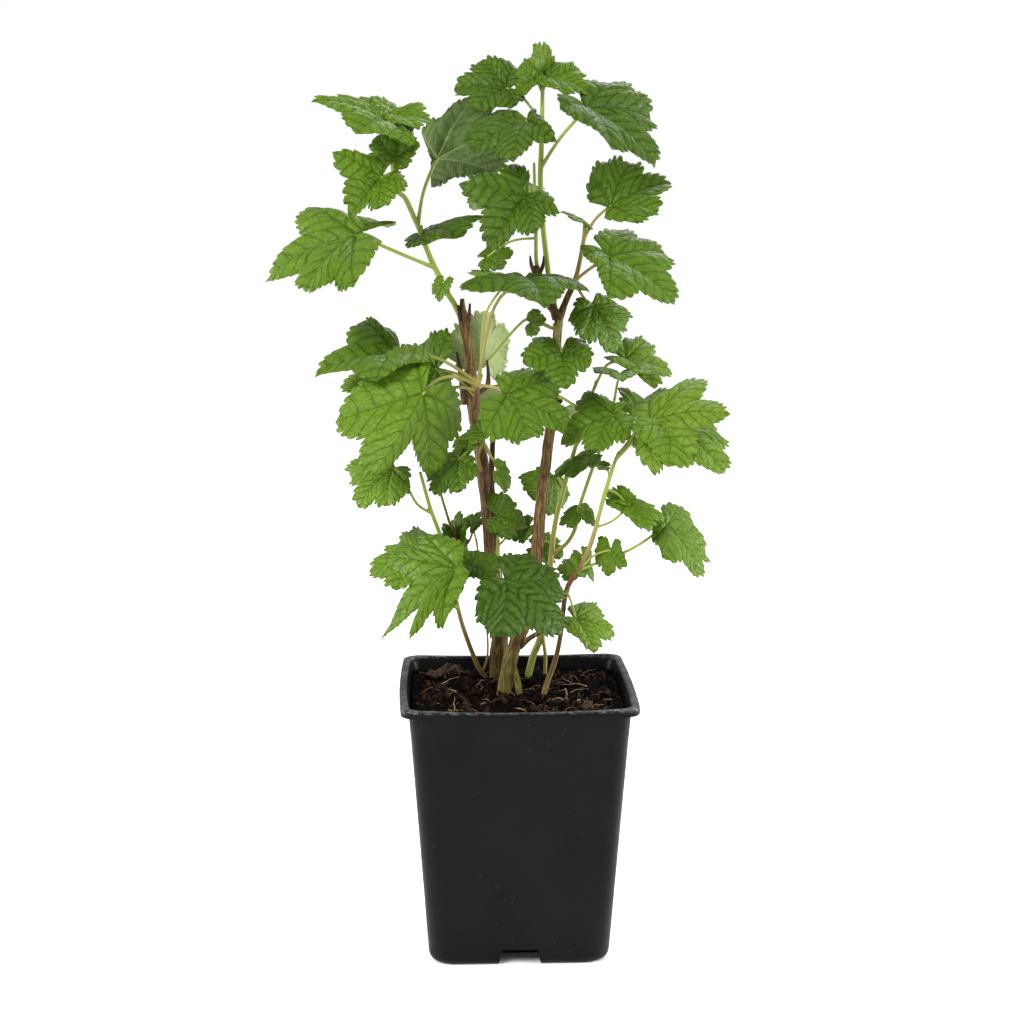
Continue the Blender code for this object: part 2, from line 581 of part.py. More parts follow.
def loft(name, rings, kind, group):
    """A closed skin through rings of as many points, with a lid on the first and on the last ring."""
    shape = bmesh.new()
    loops = [[shape.verts.new(point) for point in ring] for ring in rings]
    for lower, upper in zip(loops, loops[1:]):
        for index in range(len(lower)):
            after = (index + 1) % len(lower)
            shape.faces.new((lower[index], lower[after], upper[after], upper[index]))
    shape.faces.new(list(reversed(loops[0])))
    shape.faces.new(loops[-1])
    bmesh.ops.triangulate(shape, faces=shape.faces)
    bmesh.ops.recalc_face_normals(shape, faces=shape.faces)
    mesh = bpy.data.meshes.new(name)
    shape.to_mesh(mesh)
    shape.free()
    return mesh_object(name, mesh, kind, group)


def wall_half(height):
    """Half the pot's outer width at a height."""
    return BASE_HALF + (NECK_HALF - BASE_HALF) * (height - BASE_ROUNDING) / (POT_HEIGHT - BASE_ROUNDING)


def corner_at(height):
    """The outer corner radius of the pot at a height."""
    return BASE_CORNER + (RIM_CORNER - BASE_CORNER) * height / POT_HEIGHT


def base_block(name, turn, width_base, width_top, height, depth, group):
    """A flared block at the foot of one side, reaching in by its depth: a notch, or its housing."""
    bpy.ops.mesh.primitive_cube_add(size=1.0)
    block = bpy.context.active_object
    block.name = name
    outer = BASE_HALF + NOTCH_OVERRUN
    for corner in block.data.vertices:
        width = width_top if corner.co.z > 0 else width_base
        reach = outer if corner.co.y < 0 else BASE_HALF - depth
        z = height if corner.co.z > 0 else -NOTCH_OVERRUN
        x, y = corner.co.x * width, -reach
        corner.co = Vector((x * cos(turn) - y * sin(turn), x * sin(turn) + y * cos(turn), z)) * MM
    for owner in list(block.users_collection):
        owner.objects.unlink(block)
    group.objects.link(block)
    block.hide_render = True
    block.display_type = "WIRE"
    return block


def cut(piece, cutters, operation="DIFFERENCE"):
    """Cut each cutter out of the piece, or join it, and apply."""
    for cutter in cutters:
        step = piece.modifiers.new("Cut", "BOOLEAN")
        step.operation = operation
        step.object = cutter
        step.solver = "MANIFOLD"
    apply_modifiers(piece)
    for cutter in cutters:
        bpy.data.objects.remove(cutter)


def blocks(name, grow, group):
    """The four blocks at the feet of the sides, each grown by a wall or a gap on its inner faces."""
    return [base_block("%s_%d" % (name, side), pi / 2 * side, NOTCH_WIDTH_BASE + 2 * grow,
                       NOTCH_WIDTH_TOP + 2 * grow, NOTCH_HEIGHT + grow, NOTCH_DEPTH + grow, group)
            for side in range(4)]


def drain(name, side, group):
    """The cutter of one round drain hole, up through the roof of a notch."""
    bpy.ops.mesh.primitive_cylinder_add(vertices=12, radius=DRAIN_RADIUS * MM, depth=8.0 * MM)
    hole = bpy.context.active_object
    hole.name = name
    turn = pi / 2 * side
    reach = BASE_HALF - NOTCH_DEPTH * DRAIN_REACH
    hole.location = Vector((reach * sin(turn), -reach * cos(turn), NOTCH_HEIGHT)) * MM
    for owner in list(hole.users_collection):
        owner.objects.unlink(hole)
    group.objects.link(hole)
    hole.hide_render = True
    hole.display_type = "WIRE"
    return hole


def cavity_rings(shrink, floor, top):
    """Rings of the space inside the pot, shrunk by a gap, from its floor to a height."""
    heights = (floor, floor + 2.0, BASE_ROUNDING + 1.0, 90.0, top)
    inset = (5.0, 1.4, 0.0, 0.0, 0.0)
    return [square_ring(wall_half(max(height, BASE_ROUNDING)) - WALL - shrink - step,
                        corner_at(height) - WALL, height) for height, step in zip(heights, inset)]


def pot(group, cutters):
    """The pot: outer and inner skins in one loft, then the drainage notches in their housings."""
    neck = POT_HEIGHT - LIP_DEPTH
    outer = [square_ring(BASE_HALF - 6.0, BASE_CORNER - 4.0, 0.0),
             square_ring(BASE_HALF - 1.7, BASE_CORNER - 1.4, 1.8),
             square_ring(BASE_HALF, BASE_CORNER, BASE_ROUNDING),
             square_ring(wall_half(90.0), corner_at(90.0), 90.0),
             square_ring(NECK_HALF, RIM_CORNER + 0.4, neck),
             square_ring(RIM_HALF - 0.5, RIM_CORNER, neck),
             square_ring(RIM_HALF, RIM_CORNER, neck + 0.6),
             square_ring(RIM_HALF, RIM_CORNER, POT_HEIGHT - 0.7),
             square_ring(RIM_HALF - 0.7, RIM_CORNER - 0.5, POT_HEIGHT),
             square_ring(NECK_HALF + 0.2, RIM_CORNER - 1.0, POT_HEIGHT)]
    inner = cavity_rings(0.0, WALL, neck)
    shell = loft("pot", outer + list(reversed(inner)), PLASTIC, group)
    cut(shell, blocks("housing", WALL, cutters), "UNION")
    # the housings' outer ends are trimmed flush with the foot of the pot by the outer form
    form = loft("form", outer, PLASTIC, cutters)
    cut(shell, [form], "INTERSECT")
    cut(shell, blocks("notch", 0.0, cutters))
    cut(shell, [drain("drain_%d" % side, side, cutters) for side in range(4)])
    shell.data.shade_smooth()
    shell.data.set_sharp_from_angle(angle=radians(35))
    return shell


def peat_surface(x, y):
    """Height of the lumpy peat above its level: waves of a few sizes, and a bank at the back left."""
    lumps = 0.8 * sin(x / 7.3 + 1.0) * cos(y / 8.9) + 0.5 * sin(x / 4.1 + y / 5.7)
    grain = 0.4 * cos(y / 3.7 - x / 6.1)
    bank = 2.2 * exp(-((x + 50) ** 2 + (y - 52) ** 2) / 400.0)
    return lumps + grain + bank


def peat(group, cutters):
    """The peat: it fills the pot to just below the rim, with a hole for every planted stem."""
    rings = cavity_rings(GAP, WALL + GAP, SOIL_LEVEL - SOIL_SKIN)
    top_half = wall_half(SOIL_LEVEL) - WALL - GAP - 0.4
    for share in (1.0, 0.86, 0.71, 0.56, 0.42, 0.28, 0.14):
        rings.append(square_ring(top_half * share, RIM_CORNER * share, SOIL_LEVEL, lift=peat_surface))
    block = loft("peat", rings, PEAT, group)
    cut(block, blocks("housing_space", WALL + GAP, cutters))
    holes = []
    for nodes in (CANES, STEMS):
        for name, stems in nodes.items():
            for index, readings in enumerate(stems):
                if readings[0][1] > PLANTED_BELOW:
                    continue
                foot = seen_at(*readings[0][:3])
                points = [foot - Vector((0, 0, (ROOT_DEPTH + GAP) * MM)), foot + Vector((0, 0, 8 * MM))]
                radius = readings[0][3] / 2 + HOLE_CLEARANCE
                holes.append(tube("hole_%s_%d" % (name, index), points, [radius] * 2, PEAT, cutters, 3))
    cut(block, holes)
    block.data.shade_smooth()
    block.data.set_sharp_from_angle(angle=radians(50))
    return block


def bush(group):
    """The canes, then each green stem with its leaves."""
    for name, stems in CANES.items():
        pieces = [stem("%s_%d" % (name, index), readings, WOOD, group, 2 if index == 0 else 1,
                       readings[0][1] < PLANTED_BELOW)
                  for index, readings in enumerate(stems)]
        fuse(name, pieces, group)
    for name, stems in STEMS.items():
        pieces = [stem("%s_%d" % (name, index), readings, LEAF, group, 1, readings[0][1] < PLANTED_BELOW)
                  for index, readings in enumerate(stems)]
        for index, row in enumerate(LEAVES[name]):
            pieces += leaf("%s_leaf_%d" % (name, index), row, stems, group)
        fuse(name, pieces, group)


clear_scene()
model = new_collection("potted blackcurrant bush")
cutting = new_collection("cutters")
pot(model, cutting)
peat(model, cutting)
bush(model)
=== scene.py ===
"""Young blackcurrant bush in a black square nursery pot, dressed for its portrait on a pale floor.

Order of making: the pot, the peat and its litter, the two canes, the green stems and leaf stalks, the
leaf blades, then the studio. Readings on the plant are in millimetres; the scene is in metres, Z up.
"""
import random
import bpy
import bmesh
from math import cos, exp, pi, radians, sin
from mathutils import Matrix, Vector, noise


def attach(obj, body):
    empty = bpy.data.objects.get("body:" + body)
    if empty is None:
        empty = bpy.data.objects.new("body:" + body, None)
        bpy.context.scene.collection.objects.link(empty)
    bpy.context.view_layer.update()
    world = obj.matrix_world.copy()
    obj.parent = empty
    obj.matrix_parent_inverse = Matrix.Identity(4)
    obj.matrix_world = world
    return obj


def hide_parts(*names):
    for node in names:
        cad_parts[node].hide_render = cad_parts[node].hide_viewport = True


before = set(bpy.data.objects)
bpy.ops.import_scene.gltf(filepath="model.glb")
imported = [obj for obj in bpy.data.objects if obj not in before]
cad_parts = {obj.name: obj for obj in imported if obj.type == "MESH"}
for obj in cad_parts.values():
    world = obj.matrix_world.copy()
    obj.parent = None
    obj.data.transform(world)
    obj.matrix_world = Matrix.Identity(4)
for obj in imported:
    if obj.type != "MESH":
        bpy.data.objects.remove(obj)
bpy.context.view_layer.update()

MM = 0.001


# The pot. One injection moulding in black polypropylene: thin tapering walls, a turned-out lip that
# stiffens the rim, and four notches in the foot with a drain hole in the roof of each. Its sides bow
# out a little under the weight of wet peat, and its lip is scuffed grey from stacking.
POT_HEIGHT = 173.0
RIM_HALF = 75.0
RIM_CORNER = 11.0
LIP_DEPTH = 5.0
NECK_HALF = 70.2
BASE_HALF = 58.5
BASE_CORNER = 16.0
BASE_ROUNDING = 6.0
WALL = 1.2
WALL_BOW = 1.6
RIM_SAG = 1.2
STEPS_ON_SIDE = 14
STEPS_ON_CORNER = 10
NOTCH_WIDTH_TOP = 23.5
NOTCH_WIDTH_BASE = 28.0
NOTCH_HEIGHT = 10.8
NOTCH_DEPTH = 22.0
NOTCH_OVERRUN = 3.0
DRAIN_RADIUS = 4.0
DRAIN_LENGTH = 8.0
DRAIN_REACH = 0.6


def linear(hex_colour):
    """A linear RGBA colour from an sRGB hex string."""
    parts = [int(hex_colour[k:k + 2], 16) / 255 for k in (1, 3, 5)]
    return (*[c / 12.92 if c <= 0.04045 else ((c + 0.055) / 1.055) ** 2.4 for c in parts], 1.0)


def lay(tree, kind, inputs=None, **settings):
    """Add one node: settings are its own, inputs are values or sockets to link, by name or number."""
    node = tree.nodes.new(kind)
    for name, value in settings.items():
        setattr(node, name, value)
    for name, value in (inputs or {}).items():
        if isinstance(value, bpy.types.NodeSocket):
            tree.links.new(value, node.inputs[name])
        else:
            node.inputs[name].default_value = value
    return node


def ramp(tree, value, *stops):
    """A colour ramp over a value, its stops as (place, hex colour)."""
    node = lay(tree, "ShaderNodeValToRGB", {"Fac": value})
    while len(node.color_ramp.elements) < len(stops):
        node.color_ramp.elements.new(0.5)
    for element, (place, colour) in zip(node.color_ramp.elements, stops):
        element.position = place
        element.color = linear(colour)
    return node.outputs["Color"]


def fade(tree, value, low, high, at_low=0.0, at_high=1.0):
    """A smooth step from one level to another as the value goes from low to high."""
    node = lay(tree, "ShaderNodeMapRange", {"Value": value, "From Min": low, "From Max": high,
                                            "To Min": at_low, "To Max": at_high},
               interpolation_type="SMOOTHSTEP")
    return node.outputs["Result"]


def result_of(tree, first, second, operation):
    return lay(tree, "ShaderNodeMath", {0: first, 1: second}, operation=operation).outputs[0]


def sum_of(tree, first, second):
    return result_of(tree, first, second, "ADD")


def product_of(tree, first, second):
    return result_of(tree, first, second, "MULTIPLY")


def blend_of(tree, share, first, second):
    """Two colours mixed, each a hex colour or a socket."""
    node = lay(tree, "ShaderNodeMix", {0: share}, data_type="RGBA")
    for socket, value in ((node.inputs[6], first), (node.inputs[7], second)):
        if isinstance(value, bpy.types.NodeSocket):
            tree.links.new(value, socket)
        else:
            socket.default_value = linear(value)
    return node.outputs[2]


def grain(tree, where, size_mm, detail=2.0, roughness=0.5, distortion=0.0):
    """Cloudy noise whose features are about this size."""
    return lay(tree, "ShaderNodeTexNoise", {"Vector": where, "Scale": 1000 / size_mm, "Detail": detail,
                                            "Roughness": roughness, "Distortion": distortion}
               ).outputs["Fac"]


def new_finish(name, roughness, ior, specular=0.5):
    """A named material: its tree, its shader and the Object coordinates that its pattern reads."""
    material = bpy.data.materials.new(name)
    material.use_nodes = True
    tree = material.node_tree
    shader = tree.nodes["Principled BSDF"]
    shader.inputs["Roughness"].default_value = roughness
    shader.inputs["IOR"].default_value = ior
    shader.inputs["Specular IOR Level"].default_value = specular
    where = lay(tree, "ShaderNodeTexCoord").outputs["Object"]
    return material, tree, shader, where


def relief(tree, shader, height, depth_mm, strength=1.0):
    bump = lay(tree, "ShaderNodeBump", {"Height": height, "Distance": depth_mm * MM,
                                        "Strength": strength})
    tree.links.new(bump.outputs["Normal"], shader.inputs["Normal"])


def polypropylene():
    """Black moulded polypropylene: nearly even and satin, with soft smears, specks and a scuffed lip."""
    material, tree, shader, where = new_finish("moulded_black_polypropylene", 0.38, 1.49, 0.11)
    height = lay(tree, "ShaderNodeSeparateXYZ", {0: where}).outputs["Z"]
    clouds = grain(tree, where, 45.0, 3.0)
    wall = ramp(tree, clouds, (0.3, "#08090a"), (0.7, "#0f1011"))
    # peat dust that dried on the walls, in specks of about 0.5 mm
    specks = lay(tree, "ShaderNodeTexVoronoi", {"Vector": where, "Scale": 1000 / 9.0, "Randomness": 1.0})
    speck = fade(tree, specks.outputs["Distance"], 0.028, 0.05, 1.0, 0.0)
    wall = blend_of(tree, product_of(tree, speck, 0.35), wall, "#77746c")
    # scuffs: stacking wears the top of the lip, in streaks along it
    streaks = grain(tree, where, 3.0, 4.0, 0.65)
    lip = fade(tree, height, (POT_HEIGHT - 2.4) * MM, (POT_HEIGHT - 0.4) * MM)
    scuff = product_of(tree, lip, fade(tree, streaks, 0.40, 0.72))
    wall = blend_of(tree, product_of(tree, scuff, 0.75), wall, "#77787a")
    tree.links.new(wall, shader.inputs["Base Color"])
    smear = fade(tree, grain(tree, where, 22.0, 4.0, 0.6, 0.8), 0.3, 0.7, 0.30, 0.46)
    tree.links.new(smear, shader.inputs["Roughness"])
    relief(tree, shader, grain(tree, where, 0.9, 2.0), 0.05, 0.5)
    return material


def square_ring(half, corner, height):
    """Points round a square with rounded corners, its sides bowed a little where the pot is high."""
    share = height / POT_HEIGHT
    centre = half - corner
    ring = []
    for turn in range(4):
        quarter = pi / 2 * turn
        for step in range(STEPS_ON_CORNER + 1):
            angle = quarter + pi / 2 * step / STEPS_ON_CORNER
            ring.append((cos(quarter + pi / 4) * centre * 2 ** 0.5 + corner * cos(angle),
                         sin(quarter + pi / 4) * centre * 2 ** 0.5 + corner * sin(angle), 0.0))
        for step in range(1, STEPS_ON_SIDE):
            along = 1 - 2 * step / STEPS_ON_SIDE
            bow = (1 - along * along) * share * share
            out, side = half + WALL_BOW * bow, centre * along
            ring.append((side * cos(quarter) - out * sin(quarter),
                         side * sin(quarter) + out * cos(quarter), -RIM_SAG * bow))
    return [Vector((x, y, height + sag)) * MM for x, y, sag in ring]


def piece_of(name, shape):
    """A new piece whose mesh is the finished shape."""
    mesh = bpy.data.meshes.new(name)
    shape.to_mesh(mesh)
    shape.free()
    piece = bpy.data.objects.new(name, mesh)
    bpy.context.scene.collection.objects.link(piece)
    return piece


def skin(name, rings):
    """A closed skin through rings of as many points, with a lid on the first and on the last ring."""
    shape = bmesh.new()
    loops = [[shape.verts.new(point) for point in ring] for ring in rings]
    for lower, upper in zip(loops, loops[1:]):
        for index in range(len(lower)):
            after = (index + 1) % len(lower)
            shape.faces.new((lower[index], lower[after], upper[after], upper[index]))
    shape.faces.new(list(reversed(loops[0])))
    shape.faces.new(loops[-1])
    bmesh.ops.recalc_face_normals(shape, faces=shape.faces)
    return piece_of(name, shape)


def settle(piece):
    """Turn a piece with modifiers into the plain mesh that they give."""
    bpy.context.view_layer.update()
    evaluated = piece.evaluated_get(bpy.context.evaluated_depsgraph_get())
    mesh = bpy.data.meshes.new_from_object(evaluated)
    piece.modifiers.clear()
    piece.data = mesh


def wall_half(height):
    return BASE_HALF + (NECK_HALF - BASE_HALF) * (height - BASE_ROUNDING) / (POT_HEIGHT - BASE_ROUNDING)


def corner_at(height):
    return BASE_CORNER + (RIM_CORNER - BASE_CORNER) * height / POT_HEIGHT


def foot_block(name, turn, grow):
    """The flared block of one notch, or of its housing when grown by the wall."""
    bpy.ops.mesh.primitive_cube_add(size=1.0)
    block = bpy.context.active_object
    block.name = name
    for corner in block.data.vertices:
        width = (NOTCH_WIDTH_TOP if corner.co.z > 0 else NOTCH_WIDTH_BASE) + 2 * grow
        reach = BASE_HALF + NOTCH_OVERRUN if corner.co.y < 0 else BASE_HALF - NOTCH_DEPTH - grow
        z = NOTCH_HEIGHT + grow if corner.co.z > 0 else -NOTCH_OVERRUN
        x, y = corner.co.x * width, -reach
        corner.co = Vector((x * cos(turn) - y * sin(turn), x * sin(turn) + y * cos(turn), z)) * MM
    return block


def cut(piece, cutters, operation="DIFFERENCE"):
    for cutter in cutters:
        step = piece.modifiers.new("Cut", "BOOLEAN")
        step.operation = operation
        step.object = cutter
        step.solver = "MANIFOLD"
    settle(piece)
    for cutter in cutters:
        bpy.data.objects.remove(cutter)


def pot_skins():
    """Rings up the outside of the pot and over the lip, and rings down its inside."""
    neck, top = POT_HEIGHT - LIP_DEPTH, POT_HEIGHT
    outer = [square_ring(BASE_HALF - inset, BASE_CORNER - inset * 0.7, z)
             for inset, z in ((6.0, 0.0), (3.6, 0.35), (1.8, 1.5), (0.6, 3.3), (0.0, BASE_ROUNDING))]
    outer += [square_ring(wall_half(z), corner_at(z), z) for z in (30.0, 60.0, 90.0, 120.0, 150.0)]
    # the turned-out lip: from the neck out, up, and back over the rim
    outer += [square_ring(NECK_HALF + out, RIM_CORNER + rounder, z) for out, rounder, z in (
        (-0.2, 0.4, neck - 0.6), (0.3, 0.4, neck))]
    outer += [square_ring(RIM_HALF - inset, RIM_CORNER - sharper, z) for inset, sharper, z in (
        (0.7, 0.0, neck), (0.15, 0.0, neck + 0.2), (0.0, 0.0, neck + 0.8), (0.0, 0.0, top - 1.2),
        (0.3, 0.2, top - 0.3), (1.1, 0.5, top))]
    outer += [square_ring(NECK_HALF + out, RIM_CORNER - 1.0, z) for out, z in (
        (0.9, top), (0.1, top - 0.3), (-0.3, top - 1.0))]
    inner = [square_ring(wall_half(max(z, BASE_ROUNDING)) - WALL - inset, corner_at(z) - WALL, z)
             for z, inset in ((neck, 0.0), (140.0, 0.0), (90.0, 0.0), (40.0, 0.0),
                              (BASE_ROUNDING + 1.0, 0.0), (WALL + 2.0, 1.4), (WALL, 5.0))]
    return outer, inner


outside, inside = pot_skins()
pot = skin("nursery_pot", outside + inside)
cut(pot, [foot_block("housing", pi / 2 * side, WALL) for side in range(4)], "UNION")
cut(pot, [skin("outer_form", outside)], "INTERSECT")
cut(pot, [foot_block("notch", pi / 2 * side, 0.0) for side in range(4)])
drains = []
for side in range(4):
    bpy.ops.mesh.primitive_cylinder_add(vertices=32, radius=DRAIN_RADIUS * MM, depth=DRAIN_LENGTH * MM)
    drain = bpy.context.active_object
    reach = BASE_HALF - NOTCH_DEPTH * DRAIN_REACH
    drain.location = Vector((reach * sin(pi / 2 * side), -reach * cos(pi / 2 * side), NOTCH_HEIGHT)) * MM
    drains.append(drain)
cut(pot, drains)
pot.data.materials.clear()
pot.data.materials.append(polypropylene())
pot.data.shade_smooth()
pot.data.set_sharp_from_angle(angle=radians(40))
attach(pot, "root")
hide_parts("pot")


# The peat. Coarse black-brown sphagnum peat, moist, with bits of bark, wood chips, reddish fibres and
# pale dead rootlets in it. It was filled by hand round the roots and has settled below the lip, a
# little higher at the back left. The body below is the block that fills the pot.
SOIL_LEVEL = 162.5
SOIL_COVER = 0.7
CRUMB_SIZE = 2.2
TOP_CELLS = 150
TOP_GAP = 0.15
SKIRT_DEPTH = 6.0


def peat_finish(name, dark, brown, reddish, depth_mm):
    """Moist peat: dark and dull, its colour broken up crumb by crumb."""
    material, tree, shader, where = new_finish(name, 0.85, 1.4, 0.06)
    crumbs = lay(tree, "ShaderNodeTexVoronoi", {"Vector": where, "Scale": 1000 / CRUMB_SIZE})
    value = lay(tree, "ShaderNodeSeparateColor", {0: crumbs.outputs["Color"]}).outputs[0]
    colour = ramp(tree, value, (0.0, dark), (0.55, brown), (0.93, brown), (1.0, reddish))
    tree.links.new(colour, shader.inputs["Base Color"])
    rough = fade(tree, grain(tree, where, 5.0, 3.0), 0.35, 0.65, 0.62, 0.95)
    tree.links.new(rough, shader.inputs["Roughness"])
    lumps = sum_of(tree, grain(tree, where, 1.6, 5.0, 0.7), crumbs.outputs["Distance"])
    relief(tree, shader, lumps, depth_mm)
    return material


def peat_surface(x, y):
    """Height of the lumpy peat above its level: waves of a few sizes, and a bank at the back left."""
    lumps = 0.8 * sin(x / 7.3 + 1.0) * cos(y / 8.9) + 0.5 * sin(x / 4.1 + y / 5.7)
    fine = 0.4 * cos(y / 3.7 - x / 6.1)
    bank = 2.2 * exp(-((x + 50) ** 2 + (y - 52) ** 2) / 400.0)
    return lumps + fine + bank


def crumbled(x, y):
    """The same surface with clods, crumbs and small pits on it."""
    clods = noise.fractal(Vector((x / 9.0, y / 9.0, 3.0)), 1.0, 2.0, 4)
    pits = noise.noise(Vector((x / 2.1, y / 2.1, 1.0)))
    return peat_surface(x, y) + SOIL_COVER + 2.3 * max(clods, -0.6) + 1.1 * pits


peat_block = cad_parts["peat"]
peat_block.data.materials.clear()
peat_block.data.materials.append(peat_finish("packed_peat", "#0e0906", "#1c120b", "#3a2013", 0.5))

# its loose top layer, a closed crust finer than the block that it lies on
top_half = wall_half(SOIL_LEVEL) - WALL - TOP_GAP
top_corner = corner_at(SOIL_LEVEL) - WALL - TOP_GAP
shape = bmesh.new()
bmesh.ops.create_grid(shape, x_segments=TOP_CELLS, y_segments=TOP_CELLS, size=1.0)
for vertex in shape.verts:
    x, y = vertex.co.x * top_half, vertex.co.y * top_half
    over_x, over_y = abs(x) - (top_half - top_corner), abs(y) - (top_half - top_corner)
    if over_x > 0 and over_y > 0:
        inward = max(over_x, over_y) / (over_x ** 2 + over_y ** 2) ** 0.5
        x -= over_x * (1 - inward) * (1 if x > 0 else -1)
        y -= over_y * (1 - inward) * (1 if y > 0 else -1)
    vertex.co = Vector((x, y, SOIL_LEVEL + crumbled(x, y))) * MM
rim_edges = [edge for edge in shape.edges if edge.is_boundary]
added = bmesh.ops.extrude_edge_only(shape, edges=rim_edges)["geom"]
skirt = [item for item in added if isinstance(item, bmesh.types.BMVert)]
for vertex in skirt:
    vertex.co.z = (SOIL_LEVEL - SKIRT_DEPTH) * MM
bmesh.ops.contextual_create(shape, geom=[item for item in added if isinstance(item, bmesh.types.BMEdge)])
bmesh.ops.recalc_face_normals(shape, faces=shape.faces)
crust = piece_of("peat_crust", shape)
crust.data.materials.append(peat_finish("loose_peat", "#030202", "#0a0604", "#301d12", 0.9))
crust.data.shade_smooth()
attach(crust, "root")


# The litter in the peat. Crumbs, bark flakes, reddish fibres and pale dead rootlets, as the compost
# maker's shredder leaves them. They lie where they fell, half sunk in the loose peat.
def scatter(name, sample, finish, count, sizes, tilt, seed):
    """Scatter about this many turned copies of a sample over the crust, as one plain mesh.

    The sample is 1 mm long, sizes are the least and the greatest length, and tilt is in radians.
    """
    tree = bpy.data.node_groups.new(name, "GeometryNodeTree")
    for way in ("INPUT", "OUTPUT"):
        tree.interface.new_socket("Geometry", in_out=way, socket_type="NodeSocketGeometry")
    ground = lay(tree, "NodeGroupInput").outputs["Geometry"]
    # only on top of the crust, and not so near a wall that litter would pass through it
    reach = (top_half - 0.55 * sizes[1]) * MM
    normal, spot = [lay(tree, "ShaderNodeSeparateXYZ", {0: lay(tree, kind).outputs[0]}).outputs
                    for kind in ("GeometryNodeInputNormal", "GeometryNodeInputPosition")]
    upward = lay(tree, "FunctionNodeCompare", {"A": normal["Z"], "B": 0.3}, operation="GREATER_THAN")
    farther = result_of(tree, result_of(tree, spot["X"], 0.0, "ABSOLUTE"),
                        result_of(tree, spot["Y"], 0.0, "ABSOLUTE"), "MAXIMUM")
    inside_wall = lay(tree, "FunctionNodeCompare", {"A": farther, "B": reach}, operation="LESS_THAN")
    allowed = lay(tree, "FunctionNodeBooleanMath", {0: upward.outputs[0], 1: inside_wall.outputs[0]},
                  operation="AND")
    points = lay(tree, "GeometryNodeDistributePointsOnFaces",
                 {"Mesh": ground, "Selection": allowed.outputs[0],
                  "Density": count / (2 * top_half * MM) ** 2, "Seed": seed})
    turn = lay(tree, "FunctionNodeRandomValue",
               {0: (-tilt, -tilt, -pi), 1: (tilt, tilt, pi), "Seed": seed}, data_type="FLOAT_VECTOR")
    size = lay(tree, "FunctionNodeRandomValue", {2: sizes[0], 3: sizes[1], "Seed": seed},
               data_type="FLOAT")
    model = lay(tree, "GeometryNodeObjectInfo", {"Object": sample})
    placed = lay(tree, "GeometryNodeInstanceOnPoints",
                 {"Points": points.outputs["Points"], "Instance": model.outputs["Geometry"],
                  "Rotation": turn.outputs[0], "Scale": size.outputs[1]})
    real = lay(tree, "GeometryNodeRealizeInstances", {"Geometry": placed.outputs[0]})
    coated = lay(tree, "GeometryNodeSetMaterial", {"Geometry": real.outputs[0], "Material": finish})
    lay(tree, "NodeGroupOutput", {"Geometry": coated.outputs[0]})

    piece = bpy.data.objects.new(name, crust.data.copy())
    bpy.context.scene.collection.objects.link(piece)
    piece.modifiers.new("Scatter", "NODES").node_group = tree
    settle(piece)
    bpy.data.objects.remove(sample)
    piece.data.shade_smooth()
    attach(piece, "root")


def crumb_sample():
    """A crumb of peat 1 mm across: a pebble with knocked corners."""
    shape = bmesh.new()
    bmesh.ops.create_icosphere(shape, subdivisions=1, radius=0.5 * MM)
    for vertex in shape.verts:
        vertex.co *= 0.8 + 0.5 * noise.noise(vertex.co / MM * 1.7 + Vector((4, 1, 7)))
        vertex.co.z *= 0.7
    return piece_of("crumb_sample", shape)


def flake_sample():
    """A bark flake 1 mm long: a bent, tapered splinter."""
    shape = bmesh.new()
    bmesh.ops.create_cube(shape, size=1.0 * MM)
    bmesh.ops.subdivide_edges(shape, edges=shape.edges, cuts=1, use_grid_fill=True)
    for vertex in shape.verts:
        along = vertex.co.x / MM
        vertex.co.y *= 0.34 - 0.22 * abs(along)
        vertex.co.z = vertex.co.z * 0.1 + 0.12 * MM * (0.25 - along * along)
        vertex.co.y += 0.05 * MM * noise.noise(vertex.co / MM * 3.0)
    return piece_of("flake_sample", shape)


def strand_sample(wander, thickness, seed):
    """A fibre or rootlet 1 mm long: a bent thread, thicker in the middle."""
    draw = random.Random(seed)
    steps, sides = 9, 4
    shape = bmesh.new()
    rings = []
    heading, place = draw.uniform(-1, 1), Vector((-0.4, 0.0, 0.0))
    for step in range(steps + 1):
        share = step / steps
        heading += draw.uniform(-wander, wander)
        place = place + Vector((cos(heading), sin(heading), 0.0)) / steps
        lift = 0.16 * sin(pi * share) + 0.04 * draw.uniform(-1, 1)
        radius = thickness * (0.35 + 0.65 * sin(pi * min(1.0, share + 0.1)))
        centre = Vector((place.x, place.y, lift - 0.02))
        across = Vector((-sin(heading), cos(heading), 0.0))
        spokes = [across * cos(2 * pi * k / sides) + Vector((0, 0, 1)) * sin(2 * pi * k / sides)
                  for k in range(sides)]
        rings.append([shape.verts.new((centre + spoke * radius) * MM) for spoke in spokes])
    for lower, upper in zip(rings, rings[1:]):
        for k in range(sides):
            shape.faces.new((lower[k], upper[k], upper[(k + 1) % sides], lower[(k + 1) % sides]))
    shape.faces.new(rings[0])
    shape.faces.new(list(reversed(rings[-1])))
    bmesh.ops.recalc_face_normals(shape, faces=shape.faces)
    return piece_of("strand_sample", shape)


def fibrous(name, dark, light, roughness=0.75):
    """Dead plant fibre or bark: dull, streaked, each piece a little different from the next."""
    material, tree, shader, where = new_finish(name, roughness, 1.45, 0.12)
    value = grain(tree, where, 7.0, 3.0, 0.7)
    tree.links.new(ramp(tree, value, (0.34, dark), (0.66, light)), shader.inputs["Base Color"])
    relief(tree, shader, grain(tree, where, 0.5, 3.0), 0.15, 0.8)
    return material


